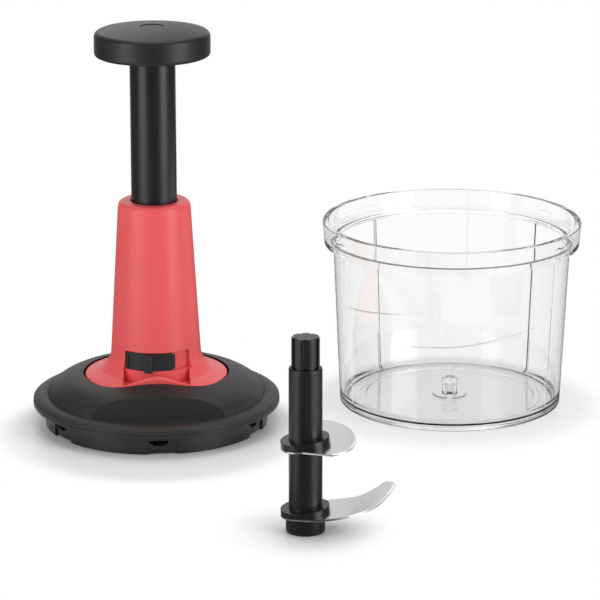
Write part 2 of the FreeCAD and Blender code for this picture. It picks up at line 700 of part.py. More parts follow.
def build_lid_dome():
    """The dome cover: a shell with a grip face, a rim on the flange and a seat for the tower."""
    rim = new_body("dome_rim")
    spin(rim, "rim_section", [
        ("dome_radius - 1.5*dome_wall", SEAT),
        (DOME_RIM, SEAT),
        (DOME_RIM, f"{SEAT} + 0.5*rim_rise"),
        ("dome_radius - edge_round", RIM_LEVEL,
         (f"0.45*dome_radius + 0.55*{DOME_RIM}", f"{RIM_LEVEL} - 0.06*rim_rise")),
        ("dome_radius - 1.5*dome_wall", RIM_LEVEL),
    ])
    round_circles(rim, "rim_rounding", "rim_round", [(DOME_RIM, f"{SEAT} + 0.5*rim_rise")])
    shell_inside = dome_solid("dome_inside", "dome_wall")
    ledge_low = f"({LEDGE} - ledge_thick)"
    above = "(dome_rise + 4*dome_wall)"
    wall = foot_prism("dome_well", "(foot_gap + dome_wall)", ledge_low, f"{DOME_LEVEL} + {above}")
    mouth = foot_prism("dome_mouth", "foot_gap", LEDGE, f"{DOME_LEVEL} + {above}")
    bore = cylinder("ledge_bore_tool", "ledge_bore", "3*ledge_thick", z=f"{ledge_low} - ledge_thick")
    holes = []
    for index in range(4):
        x, y = polar("post_pitch", f"{index}*90 + 45")
        holes.append(cylinder(f"ledge_hole_{index + 1}", "tower_screw_radius + snug", "3*ledge_thick", x, y,
                              f"{ledge_low} - ledge_thick"))
    inside = cut("dome_room", shell_inside, wall)
    shell = cut("dome_shell", join("dome_whole", [dome_solid("dome_outside", "0"), rim]), inside)
    return cut("lid_dome", shell, mouth, bore, *holes)


# ---- tower ----

def flare_point(share):
    """A point of the flare's curve, from its top (share 0) to its lower end (share 1)."""
    return (f"neck_radius + flare_arc*(1 - cos({share}*flare_sweep))",
            f"{NECK} - flare_arc*sin({share}*flare_sweep)")


def scoop(name, grow, low):
    """The recess between the tower and the lip along the foot's hollow front, grown by a margin."""
    high = f"({NECK} + {grow})"
    block = document.addObject("Part::Wedge", f"{name}_block")
    near = "2*foot_radius"
    far = "0.7*scoop_back"
    wide = f"(scoop_half + scoop_slope*({near} - arch_reach) + 1.2*{grow})"
    narrow = f"(scoop_half + scoop_slope*({far} - arch_reach) + 1.2*{grow})"
    sizes = {
        "Xmin": f"-{wide}", "Xmax": wide, "Zmin": low, "Zmax": high,
        "X2min": f"-{narrow}", "X2max": narrow, "Z2min": low, "Z2max": high,
        "Ymin": f"-{near}", "Ymax": f"-{far}",
    }
    for size, formula in sizes.items():
        bind(block, size, formula)
    tower = cylinder(f"{name}_tower", f"scoop_back - {grow}", f"{high} - {low}", z=low)
    front = cylinder(f"{name}_front", f"arch_radius + scoop_lip - {grow}", f"{high} - {low}",
                     y="-(arch_reach + arch_radius)", z=low)
    return cut(name, block, tower, front)


def build_tower_shell():
    """The red tower: a tapered tube with a flared foot, a hollow front and the lock's window."""
    outside = new_body("tower_outside")
    spin(outside, "outside_section", [
        ("0", LEDGE),
        ("foot_radius", LEDGE),
        ("foot_radius", f"{LEDGE} + foot_edge"),
        flare_point(1),
        ("neck_radius", NECK, flare_point(0.5)),
        ("tower_top_radius", TOWER_TOP),
        ("0", TOWER_TOP),
    ])
    round_circles(outside, "top_rounding", "tower_round", [("tower_top_radius", TOWER_TOP)])
    round_circles(outside, "foot_rounding", "1.5*edge_round", [("foot_radius", f"{LEDGE} + foot_edge")])
    plan = foot_prism("tower_plan", "0", LEDGE, f"{TOWER_TOP} + 1", "edge_round")
    recess = scoop("tower_recess", "0", f"{LEDGE} + scoop_rise")
    body = cut("tower_body", overlap("tower_solid", outside, plan), recess)

    inside = new_body("tower_inside")
    spin(inside, "inside_section", [
        ("0", f"{LEDGE} - 1"),
        ("foot_radius - tower_wall", f"{LEDGE} - 1"),
        ("foot_radius - tower_wall", f"{LEDGE} + foot_edge - tower_wall"),
        (f"{flare_point(1)[0]} - 0.5*tower_wall", f"{flare_point(1)[1]} - tower_wall"),
        ("bore_low_radius", KINK),
        ("bore_low_radius", f"{WINDOW_TOP} + tower_wall"),
        ("bore_top_radius", BUSH),
        (f"{BUSH_RADIUS} + snug", BUSH),
        (f"{BUSH_RADIUS} + snug", f"{BUSH} + bush_height"),
        ("tube_radius + 2*free_gap", f"{BUSH} + bush_height"),
        ("tube_radius + 2*free_gap", f"{TOWER_TOP} + 1"),
        ("0", f"{TOWER_TOP} + 1"),
    ])
    room_plan = foot_prism("tower_room_plan", "(-tower_wall)", f"{LEDGE} - 1", f"{TOWER_TOP} + 1",
                           "edge_round")
    recess_wall = scoop("recess_wall", "tower_wall", f"{LEDGE} + scoop_rise - tower_wall")
    room = cut("tower_room", overlap("tower_cavity", inside, room_plan), recess_wall)

    posts = []
    holes = []
    for index in range(4):
        x, y = polar("post_pitch", f"{index}*90 + 45")
        posts.append(cylinder(f"tower_post_{index + 1}", "post_radius", "foot_edge + 0.5*tower_wall",
                              x, y, LEDGE))
        holes.append(cylinder(f"tower_post_hole_{index + 1}", "tower_screw_radius + snug",
                              "tower_screw_length - ledge_thick + free_gap", x, y, LEDGE))
    ribs = new_body("tower_ribs")
    rib = spin(ribs, "rib_section", [
        ("collar_radius + 2*free_gap", f"{TAB} + tab_thick + free_gap"),
        ("bore_low_radius + 0.5", f"{TAB} + tab_thick + free_gap"),
        ("bore_top_radius + 0.5", BUSH),
        ("collar_radius + 2*free_gap", BUSH),
    ], "0", "guide_rib_span")
    repeat_round(ribs, rib, "rib_pattern", "lug_count")

    window = new_body("tower_window")
    spin(window, "window_section", box_section("recess_radius", "2*recess_radius", WINDOW, WINDOW_TOP),
         "slider_middle + 0.5*lock_turn", "slider_span + lock_turn + 2*slider_play")
    slot = new_body("tower_slot")
    spin(slot, "slot_section", box_section("bore_low_radius - 1", "recess_radius + 1",
                                           f"{WEB} - free_gap", f"{WEB} + web_thick + free_gap"),
         "fin_middle + 0.5*lock_turn", "web_span + lock_turn + 3")
    hollow = cut("tower_hollow", body, room)
    return cut("tower_shell", join("tower_filled", [hollow, ribs] + posts), window, slot, *holes)


def build_guide_bush():
    """The bush in the tower's top that guides the plunger tube."""
    body = new_body("guide_bush")
    spin(body, "section", box_section(BUSH_BORE, BUSH_RADIUS, BUSH, f"{BUSH} + bush_height"))
    return body


# ---- lock ----

def build_lock_slider():
    """The curved thumb slider in the tower's window, with its fin and its web through the slot."""
    body = new_body("lock_slider")
    inner = "(recess_radius + free_gap)"
    outer = f"({inner} + slider_thick)"
    low = f"({WINDOW} + free_gap)"
    high = f"({WINDOW_TOP} - 2*free_gap)"
    spin(body, "plate", box_section(inner, outer, low, high), "slider_middle", "slider_span")
    document.recompute()
    corners = []
    for index, edge in enumerate(body.Shape.Edges, start=1):
        flat = abs(edge.BoundBox.ZLength) < 1e-6
        if flat and abs(edge.Length - number("slider_thick")) < 1e-4:
            corners.append(f"Edge{index}")
    dress(body, "Fillet", "corner_rounding", "slider_round", corners)
    side = "0.25*(slider_span + fin_span)"
    rest = box_section(f"{outer} - rest_depth", f"{outer} + 1",
                       f"{low} + rest_border", f"{high} - rest_border")
    for name, way in (("left_rest", "-"), ("right_rest", "+")):
        spin(body, name, rest, f"slider_middle {way} {side}", "rest_span", groove=True)
    spin(body, "fin", [
        (inner, low),
        (f"{outer} + slider_thick", low),
        ("fin_reach - 0.5*slider_thick", f"{low} - fin_drop"),
        ("fin_reach", f"{low} - fin_drop"),
        ("fin_reach", f"{high} - 0.6*slider_thick"),
        (f"{outer}", high),
        (inner, high),
    ], "fin_middle", "fin_span")
    spin(body, "fin_groove", box_section("fin_reach - 0.2*slider_thick", "fin_reach + 1",
                                         f"{low} - 2*fin_drop", f"{high} + 1"),
         "fin_middle", "0.22*fin_span", groove=True)
    spin(body, "web", box_section(RING_RADIUS, f"{inner} + 0.5", WEB, f"{WEB} + web_thick"),
         "fin_middle", "web_span")
    return body


def build_lock_ring():
    """The ring behind the slider: its tabs swing over the collar's lugs when the plunger is down."""
    body = new_body("lock_ring")
    spin(body, "ring", box_section(RING_BORE, RING_RADIUS, WEB, f"{TAB} + tab_thick"))
    tab_section = box_section("tab_reach", f"{RING_BORE} + 0.5*ring_wall", TAB, f"{TAB} + tab_thick")
    tab = spin(body, "tab", tab_section, "180/lug_count", "tab_span")
    repeat_round(body, tab, "tab_pattern", "lug_count")
    return body


# ---- plunger ----

def build_plunger_tube():
    """The tube that carries the knob, closed at the top."""
    body = new_body("plunger_tube")
    spin(body, "section", [
        (TUBE_BORE, TUBE),
        ("tube_radius", TUBE),
        ("tube_radius", TUBE_TOP),
        ("knob_screw_radius + snug", TUBE_TOP),
        ("knob_screw_radius + snug", f"{TUBE_TOP} - tube_plug"),
        (TUBE_BORE, f"{TUBE_TOP} - tube_plug"),
    ])
    return body


def build_stop_collar():
    """The collar that seats the spring, stops against the bush and carries the lock's lugs."""
    body = new_body("stop_collar")
    top = f"({COLLAR} + collar_thick)"
    spin(body, "ring", box_section("tube_radius + snug", "collar_radius", COLLAR, top))
    lug = spin(body, "lug", box_section("collar_radius - 0.5", "lug_radius", COLLAR, top), "0", "tab_span")
    repeat_round(body, lug, "lug_pattern", "lug_count")
    keyway = spin(body, "keyway", box_section("collar_radius + free_gap", "lug_radius + 1",
                                              f"{COLLAR} - 1", f"{top} + 1"),
                  "0", "guide_rib_span + 3", groove=True)
    repeat_round(body, keyway, "keyway_pattern", "lug_count")
    return body


def twisted_square(side, low, high):
    """A square bar from one level to another, twisted left-handed about Z in step with its height."""
    lead = number("twist_lead")
    turn = -360.0 * low / lead
    half = side / 2
    corners = [Vector(x, y, low) for x, y in ((half, half), (-half, half), (-half, -half), (half, -half))]
    section = Part.makePolygon(corners + corners[:1])
    section.rotate(Vector(), Vector(0, 0, 1), turn)
    spine = Part.Wire(Part.makeLine(Vector(0, 0, low), Vector(0, 0, high)))
    guide = Part.makeHelix(lead, high - low, side, 0, True)
    guide.rotate(Vector(), Vector(0, 0, 1), turn)
    guide.translate(Vector(0, 0, low))
    sweep = Part.BRepOffsetAPI.MakePipeShell(spine)
    sweep.setAuxiliarySpine(Part.Wire(guide.Edges), True, 0)
    sweep.add(section)
    sweep.build()
    sweep.makeSolid()
    return sweep.shape()


def feature_of(label, shape):
    """A plain feature for a shape that no sketch or primitive gives."""
    item = document.addObject("Part::Feature", label)
    item.Shape = shape
    return item


def build_drive_nut():
    """The nut in the tube's lower end, whose twisted bore turns the rod."""
    low, flange, high = number(NUT), number(TUBE), number(f"{TUBE} + nut_height")
    disc = Part.makeCylinder(number("tube_radius"), flange - low, Vector(0, 0, low))
    sleeve = Part.makeCylinder(number(f"{TUBE_BORE} - snug"), high - flange, Vector(0, 0, flange))
    bore = twisted_square(number("twist_side + 2*twist_gap"), low - 1, high + 1)
    return feature_of("drive_nut", disc.fuse(sleeve).cut(bore).removeSplitter())


def build_drive_screw():
    """The twisted rod with its round neck and the disc that carries the upper clutch teeth."""
    driver = number(DRIVER)
    neck = number(f"{DRIVER} + driver_thick")
    top = number(f"{TUBE} + nut_height + rod_over_nut")
    neck_top = number(f"{SPRING_SEAT} + 0.3*end_gap")
    disc = Part.makeCylinder(number("clutch_radius"), neck - driver, Vector(0, 0, driver))
    journal = Part.makeCylinder(number("journal_radius"), neck_top - driver, Vector(0, 0, driver))
    rod = twisted_square(number("twist_side"), neck, top)
    shape = disc.fuse([journal, rod] + clutch_teeth(upper=True)).removeSplitter()
    return feature_of("drive_screw", shape)


def clutch_teeth(upper):
    """One row of ratchet teeth. Each is a radial wedge with an upright face that pushes the other row."""
    width, height, gap = number("tooth_width"), number("tooth_height"), number("mesh_gap")
    inner, outer, root = number("tooth_inner"), number("clutch_radius - 0.3"), number(TEETH)
    if upper:
        profile = [(0, height + 2 * gap), (width, height + 2 * gap), (width, height + gap), (0, gap)]
    else:
        profile = [(0, -gap), (width, -gap), (width, height), (0, 0)]
    corners = [Vector(inner, across - width / 2, root + up) for across, up in profile]
    wedge = Part.Face(Part.makePolygon(corners + corners[:1])).extrude(Vector(outer - inner, 0, 0))
    teeth = []
    count = int(number("tooth_count"))
    for index in range(count):
        tooth = wedge.copy()
        tooth.rotate(Vector(), Vector(0, 0, 1), 360.0 * index / count)
        teeth.append(tooth)
    return teeth


def build_return_spring():
    """The compression spring between the clutch cover and the stop collar."""
    wire = number("spring_wire")
    low, high = number(SPRING_SEAT), number(COLLAR)
    coils = number("spring_coils")
    rise = high - low - wire
    helix = Part.makeHelix(rise / coils, rise, number("spring_radius"), 0)
    helix.translate(Vector(0, 0, low + wire / 2))
    path = helix.Edges[0]
    first = path.FirstParameter
    around = Part.makeCircle(wire / 2, path.valueAt(first), path.tangentAt(first))
    corners = around.discretize(int(number("wire_sides")) + 1)
    coil = Part.Wire(helix.Edges).makePipeShell([Part.makePolygon(corners)], True, True)
    return feature_of("return_spring", coil)


def build_press_knob():
    """The knob: a domed shell with a boss over the tube's end and a seat for its screw cap."""
    body = new_body("press_knob")
    shoulder = f"({KNOB} + knob_side)"
    spin(body, "section", [
        ("knob_radius - knob_wall", KNOB),
        ("knob_radius", KNOB),
        ("knob_radius", shoulder),
        ("0", KNOB_TOP, ("0.5*knob_radius", f"{KNOB_TOP} - 0.25*knob_crown")),
        ("0", TUBE_TOP),
        (KNOB_HUB, TUBE_TOP),
        (KNOB_HUB, f"{shoulder} - knob_wall"),
        ("knob_radius - knob_wall", f"{shoulder} - knob_wall"),
    ])
    spin(body, "screw_way", [
        ("0", f"{TUBE_TOP} - 1"),
        ("knob_screw_radius + snug", f"{TUBE_TOP} - 1"),
        ("knob_screw_radius + snug", SCREW_SEAT),
        ("knob_screw_radius*head_ratio + free_gap", SCREW_SEAT),
        ("knob_screw_radius*head_ratio + free_gap", CAP),
        ("cap_radius + snug", CAP),
        ("cap_radius + snug", f"{KNOB_TOP} + 1"),
        ("0", f"{KNOB_TOP} + 1"),
    ], groove=True)
    round_circles(body, "upper_rounding", "knob_round_top", [("knob_radius", shoulder)])
    round_circles(body, "lower_rounding", "knob_round_low", [("knob_radius", KNOB)])
    return body


def build_knob_base():
    """The disc that closes the knob underneath and grips the tube's end."""
    body = new_body("knob_base")
    spin(body, "section", [
        ("tube_radius + snug", KNOB),
        ("knob_radius - knob_wall - snug", KNOB),
        ("knob_radius - knob_wall - snug", f"{KNOB} + knob_wall"),
        (KNOB_HUB, f"{KNOB} + knob_wall"),
        (KNOB_HUB, TUBE_TOP),
        ("tube_radius + snug", TUBE_TOP),
    ])
    return body


def build_knob_cap():
    """The round cap over the knob's screw."""
    body = new_body("knob_cap")
    spin(body, "section", box_section("0", "cap_radius", CAP, f"{CAP} + cap_thick"))
    return body


def build_knob_screw():
    """The screw that holds the knob on the tube."""
    return screw("knob_screw", "knob_screw_radius", "knob_screw_length", SCREW_SEAT, up=False)


# ---- clutch ----

def build_thrust_washer():
    """The washer between the rod's clutch disc and the cover."""
    body = new_body("thrust_washer")
    spin(body, "section", box_section("journal_radius + running", "washer_radius",
                                      WASHER, f"{WASHER} + washer_thick"))
    return body


def build_clutch_cover():
    """The cover that closes the clutch cup and seats the spring."""
    body = new_body("clutch_cover_disc")
    spin(body, "section", box_section("journal_radius + running", CUP_RADIUS, COVER, SPRING_SEAT))
    ears = []
    holes = []
    for index in range(3):
        x, y = polar("ear_pitch", f"{index}*120")
        ears.append(cylinder(f"cover_ear_{index + 1}", "ear_radius", "cover_thick", x, y, COVER))
        holes.append(cylinder(f"cover_hole_{index + 1}", "cover_screw_radius + snug", "cover_thick + 2", x, y,
                              f"{COVER} - 1"))
    return cut("clutch_cover", join("clutch_cover_whole", [body] + ears), *holes)


def build_cover_screws():
    """The screws of the clutch cover."""
    screws = []
    for index in range(3):
        x, y = polar("ear_pitch", f"{index}*120")
        screws.append(screw(f"cover_screw_{index + 1}", "cover_screw_radius", "cover_screw_length",
                            SPRING_SEAT, False, x, y))
    return group("cover_screws", screws)


def build_tower_screws():
    """The screws that hold the tower on the dome's ledge, from below."""
    screws = []
    for index in range(4):
        x, y = polar("post_pitch", f"{index}*90 + 45")
        screws.append(screw(f"tower_screw_{index + 1}", "tower_screw_radius", "tower_screw_length",
                            f"({LEDGE} - ledge_thick)", True, x, y))
    return group("tower_screws", screws)


def spline(name, grow, low, high):
    """The fluted bar: a round bar with round flutes along it, grown all round by a margin."""
    body = new_body(name)
    bar = new_sketch(body, f"{name}_bar", "XY_Plane", height=low)
    circle(bar, f"spline_radius + {grow}")
    extrude(body, bar, f"{name}_round", f"({high}) - ({low})")
    round_flute = new_sketch(body, f"{name}_flute", "XY_Plane", height=low)
    circle(round_flute, f"flute_radius - {grow}",
           "flute_pitch*cos(flute_turn)", "flute_pitch*sin(flute_turn)")
    flute = extrude(body, round_flute, f"{name}_cut", f"({high}) - ({low})", pocket=True)
    repeat_round(body, flute, f"{name}_flutes", "flute_count")
    return body


def build_output_socket():
    """The fluted socket that turns the blade spindle, with the lower clutch teeth on top."""
    body = new_body("socket_body")
    spin(body, "section", [
        ("0", "socket_low"),
        ("socket_radius", "socket_low"),
        ("socket_radius", SOCKET_FLANGE),
        ("clutch_radius", SOCKET_FLANGE),
        ("clutch_radius", TEETH),
        ("0", TEETH),
    ])
    bore = spline("socket_bore", "spline_gap", "socket_low - 1", "socket_low + socket_depth")
    teeth = []
    for index, tooth in enumerate(clutch_teeth(upper=False), start=1):
        teeth.append(feature_of(f"socket_tooth_{index}", tooth))
    return cut("output_socket", join("socket_whole", [body] + teeth), bore)


# ---- blade unit ----

def rounded_edge(radius, height, size):
    """The half section outside a bar's rounded upper edge."""
    level = f"({height} - {size})"
    inner = f"({radius} - {size})"
    beyond = f"({radius} + {size})"
    above = f"({height} + {size})"
    middle = (f"{inner} + {size}*sin(45)", f"{level} + {size}*sin(45)")
    return [(inner, above), (inner, height), (radius, level, middle), (beyond, level), (beyond, above)]


def build_spindle_core():
    """The fluted core that carries the sleeves and blades, bored below for the pivot bush."""
    body = spline("spindle_core", "0", "foot_floor", "core_height")
    pivot = box_section("0", CORE_BORE, "foot_floor - 1", "pivot_depth + free_gap")
    pip = box_section("0", "pip_radius", "core_height - pip_depth", "core_height + 1")
    crown = rounded_edge("spline_radius", "core_height", "crown_round")
    spin(body, "pivot_bore", pivot, groove=True)
    spin(body, "pip", pip, groove=True)
    spin(body, "crown", crown, groove=True)
    return body


def build_pivot_bush():
    """The bearing bush that turns on the bowl's pin."""
    body = new_body("pivot_bush")
    spin(body, "section", box_section("bush_bore", "bush_bore + pivot_wall", "free_gap", "pivot_depth"))
    return body


def build_spindle_foot():
    """The foot sleeve under the lower blade. Its top follows the blade's tilt."""
    body = new_body("foot_sleeve")
    high = "(foot_sleeve_height + 2*blade_thick)"
    spin(body, "section", [
        (CORE_BORE, "0"),
        ("foot_sleeve_radius", "0"),
        ("foot_sleeve_radius", high),
        (SLEEVE_BORE, high),
        (SLEEVE_BORE, "foot_floor"),
        (CORE_BORE, "foot_floor"),
    ])
    round_circles(body, "foot_rounding", "edge_round", [("foot_sleeve_radius", "0")])
    above = tilted_disc("foot_trim", "lower_tilt", "foot_sleeve_height", "foot_sleeve_height")
    return cut("spindle_foot", body, above)


def tilted_disc(name, tilt, height, thick, radius="4*collar_disc_radius"):
    """A disc that rises towards +X and whose lower face crosses the axis at a height."""
    body = new_body(name)
    sketch = new_sketch(body, f"{name}_circle", "XY_Plane", height=height, turn=f"-{tilt}")
    circle(sketch, radius)
    extrude(body, sketch, f"{name}_pad", thick)
    return body


def sleeve(label, low_tilt, low, high_tilt, high, disc_thick):
    """A sleeve round the core between two tilted faces, with a collar on the blade below it."""
    margin = "(2*collar_disc_radius)"
    tube = cylinder(f"{label}_tube", "sleeve_radius", f"{high} - {low} + {margin}", z=f"{low} - 0.5*{margin}")
    collar = tilted_disc(f"{label}_collar", low_tilt, low, disc_thick, "collar_disc_radius")
    bore = cylinder(f"{label}_bore", SLEEVE_BORE, f"{high} - {low} + 2*{margin}", z=f"{low} - {margin}")
    below = tilted_disc(f"{label}_below", low_tilt, f"{low} - {margin}/cos({low_tilt})", margin)
    above = tilted_disc(f"{label}_above", high_tilt, high, margin)
    return cut(label, join(f"{label}_whole", [tube, collar]), bore, below, above)


def build_middle_sleeve():
    """The sleeve from the lower blade to the upper one."""
    return sleeve("middle_sleeve", "lower_tilt", LOWER_TOP, "upper_tilt", "upper_blade_height",
                  "lower_disc_thick")


def build_upper_sleeve():
    """The sleeve over the upper blade."""
    rounding = new_body("sleeve_rounding")
    spin(rounding, "sleeve_rounding_section", rounded_edge("sleeve_radius", "sleeve_top", "sleeve_round"))
    whole = sleeve("sleeve_blank", "upper_tilt", UPPER_TOP, "0", "sleeve_top", "upper_disc_thick")
    return cut("upper_sleeve", whole, rounding)


def blade(label, tilt, height, reach, corners, ground):
    """A flat blade on a tilted plane, with a ring round the core. The corners are in hundredths of
    the blade's reach, and the arcs that lead to the ground corners are its cutting edge."""
    body = new_body(f"{label}_plate")
    sketch = new_sketch(body, f"{label}_outline", "XY_Plane", height=height, turn=f"-{tilt}")
    pieces = outline(sketch, [scale_corner(corner, reach) for corner in corners])
    extrude(body, sketch, f"{label}_pad", "blade_thick")
    document.recompute()
    lift = Vector(0, 0, number("blade_thick"))
    arcs = [sketch.Geometry[pieces[index]] for index in ground]
    middles = [sketch.Placement.multVec(arc_middle(arc) + lift) for arc in arcs]
    edge = dress(body, "Chamfer", f"{label}_edge", "bevel_depth", edges_through(body.Shape, middles))
    edge.ChamferType = "Two distances"
    bind(edge, "Size2", "bevel_width")
    ring = new_sketch(body, f"{label}_ring", "XY_Plane", height=height, turn=f"-{tilt}")
    circle(ring, "hub_ring_radius")
    extrude(body, ring, f"{label}_hub", "blade_thick")
    hole = spline(f"{label}_hole", "snug", f"{height} - hub_ring_radius", f"{height} + hub_ring_radius")
    return cut(label, body, hole)


def scale_corner(corner, reach):
    """A blade's corner as formulas of its reach."""
    scaled = tuple(f"{share}*{reach}/100" for share in corner[:2])
    if corner[2:] in ((), ("smooth",)):
        return scaled + corner[2:]
    return scaled + (scale_corner(corner[2], reach),)


def arc_middle(arc):
    """The point half-way along an arc."""
    return arc.value((arc.FirstParameter + arc.LastParameter) / 2)


def edges_through(shape, points):
    """The names of the shape's edges that pass through these points."""
    names = []
    for index, edge in enumerate(shape.Edges, start=1):
        if any(edge.distToShape(Part.Vertex(point))[0] < 1e-4 for point in points):
            names.append(f"Edge{index}")
    return names


def build_lower_blade():
    """The long sickle blade near the floor."""
    corners = [
        (-4, -23.8),
        (68.3, 0.8, (50, -20.6)),
        (84.2, 50, "smooth"),
        (77.7, 61, "smooth"),
        (72.8, 57.4),
        (51, 28.3, (63, 41.3)),
        (27.4, 25.5, (40.6, 25.3)),
        (2, 23),
    ]
    return blade("lower_blade", "lower_tilt", "foot_sleeve_height", "lower_reach", corners, (1, 2, 3))


def build_upper_blade():
    """The short broad blade half-way up."""
    corners = [
        (-4.3, -34.8),
        (34.2, -60.7),
        (64.4, -39.3, (53, -55)),
        (35.6, 93.4, "smooth"),
        (7.1, 99.7, "smooth"),
        (-8.5, 34, (14.2, 60)),
    ]
    return blade("upper_blade", "upper_tilt", "upper_blade_height", "upper_reach", corners, (2, 3, 4))


# ---- bowl ----

def wall_radius(height):
    """The bowl's inner radius at a height."""
    return f"(base_radius - bowl_wall + {WALL_SLOPE}*({height}))"


def build_bowl():
    """The bowl: a tapered cup with a stepped mouth for the lid, a pin and ribs down the inside."""
    body = new_body("bowl")
    low_floor = "(floor_height - floor_step)"
    pin_top = "(floor_height + pin_height)"
    spin(body, "section", [
        ("0", "pin_core_height"),
        ("pin_core_radius", "pin_core_height"),
        ("pin_core_radius", "recess_height"),
        ("hollow_radius", "recess_height"),
        ("hollow_radius", "0"),
        ("base_radius", "0"),
        ("body_radius", BAND),
        ("band_radius", BAND),
        ("rim_radius", "bowl_height"),
        (COLLAR_BORE, "bowl_height"),
        (COLLAR_BORE, SHELF),
        (wall_radius(SHELF), SHELF),
        (wall_radius("floor_height"), "floor_height"),
        ("step_radius", "floor_height"),
        ("step_radius", low_floor),
        ("pad_radius", low_floor),
        ("pad_radius", "floor_height"),
        ("pin_radius", "floor_height"),
        ("pin_radius", pin_top),
        ("0", pin_top),
    ])
    round_circles(body, "floor_rounding", "floor_round", [(wall_radius("floor_height"), "floor_height")])
    round_circles(body, "base_rounding", "base_round", [("base_radius", "0")])
    round_circles(body, "edge_rounding", "edge_round", [
        ("rim_radius", "bowl_height"),
        (COLLAR_BORE, "bowl_height"),
        ("band_radius", BAND),
        ("pin_radius", pin_top),
    ])
    low = "(floor_height + 0.5*edge_round)"
    high = f"({SHELF} - rib_top_gap)"
    middle = f"({FLANGE_TOP} + 0.5*bead_height)"
    for index, azimuth in enumerate(("front_rib", "back_rib", "-back_rib", "-front_rib"), start=1):
        spin(body, f"rib_{index}", [
            (f"{wall_radius(low)} - rib_depth", low),
            (f"{wall_radius(low)} + 0.5*bowl_wall", low),
            (f"{wall_radius(high)} + 0.5*bowl_wall", high),
            (f"{wall_radius(high)} - rib_depth", high),
        ], azimuth, "rib_thick/body_radius*180/pi")
        spin(body, f"bead_{index}", [
            (f"{COLLAR_BORE} + 0.5*bowl_wall", f"{middle} - 0.5*bead_height"),
            (f"{COLLAR_BORE} + 0.5*bowl_wall", f"{middle} + 0.5*bead_height"),
            (COLLAR_BORE, f"{middle} + 0.5*bead_height"),
            (f"{COLLAR_BORE} - bead_depth", middle),
            (COLLAR_BORE, f"{middle} - 0.5*bead_height"),
        ], azimuth, "bead_span")
    return body


# ---- the whole ----

# Where each free-standing group stands: the x and y of its axis and its turn.
STATIONS = {
    "drive": ("drive_x", "drive_y", "drive_turn"),
    "spindle": ("spindle_x", "spindle_y", "0"),
    "bowl": ("0", "0", "bowl_turn"),
}

PARTS = [
    (build_lid_base, "drive"),
    (build_lid_dome, "drive"),
    (build_tower_shell, "drive"),
    (build_tower_screws, "drive"),
    (build_guide_bush, "drive"),
    (build_lock_slider, "drive"),
    (build_lock_ring, "drive"),
    (build_plunger_tube, "drive"),
    (build_stop_collar, "drive"),
    (build_drive_nut, "drive"),
    (build_return_spring, "drive"),
    (build_press_knob, "drive"),
    (build_knob_base, "drive"),
    (build_knob_screw, "drive"),
    (build_knob_cap, "drive"),
    (build_drive_screw, "drive"),
    (build_thrust_washer, "drive"),
    (build_clutch_cover, "drive"),
    (build_cover_screws, "drive"),
    (build_output_socket, "drive"),
    (build_spindle_core, "spindle"),
    (build_pivot_bush, "spindle"),
    (build_spindle_foot, "spindle"),
    (build_lower_blade, "spindle"),
    (build_middle_sleeve, "spindle"),
    (build_upper_blade, "spindle"),
    (build_upper_sleeve, "spindle"),
    (build_bowl, "bowl"),
]


def place(item, station):
    """Stand a sub-part on its axis."""
    x, y, turn = STATIONS[station]
    spin_about = FreeCAD.Rotation(Vector(0, 0, 1), number(turn))
    item.Placement = FreeCAD.Placement(Vector(number(x), number(y), 0), spin_about)
    bind(item, "Placement.Base.x", x)
    bind(item, "Placement.Base.y", y)
    if turn in NAMES:
        bind(item, "Placement.Rotation.Angle", turn)


def check(items):
    """Stop where a feature failed or a sub-part isn't whole."""
    failed = [item.Label for item in document.Objects if {"Invalid", "Error"} & set(item.State)]
    broken = [item.Label for item in items if item.Shape.isNull() or not item.Shape.isValid()]
    if failed or broken:
        raise RuntimeError(f"failed features {failed}, broken sub-parts {broken}")


def main():
    fill_sheet()
    items = []
    for build, station in PARTS:
        item = build()
        document.recompute()
        place(item, station)
        items.append(item)
    document.recompute()
    check(items)
    os.makedirs("parts", exist_ok=True)
    for item in items:
        item.Shape.exportStep(f"parts/{item.Label}.step")
        print(f"{item.Label}: {len(item.Shape.Solids)} solids, {item.Shape.Volume:.1f} mm3")


main()
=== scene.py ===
import json
import math

import bmesh
import bpy
from mathutils import Euler, Matrix, Vector


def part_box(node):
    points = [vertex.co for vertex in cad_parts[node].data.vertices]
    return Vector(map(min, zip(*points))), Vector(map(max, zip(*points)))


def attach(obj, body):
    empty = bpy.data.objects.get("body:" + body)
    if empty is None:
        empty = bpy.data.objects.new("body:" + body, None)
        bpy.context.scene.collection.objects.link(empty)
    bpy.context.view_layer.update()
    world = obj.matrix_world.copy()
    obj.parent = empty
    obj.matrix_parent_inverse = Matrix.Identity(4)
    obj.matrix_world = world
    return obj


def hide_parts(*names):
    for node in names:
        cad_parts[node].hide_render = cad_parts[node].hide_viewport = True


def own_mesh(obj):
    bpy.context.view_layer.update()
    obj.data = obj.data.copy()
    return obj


# The looks of a plunger food chopper, taken apart into its drive unit, bladed spindle and clear bowl.
# Lengths are metres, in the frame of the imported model.

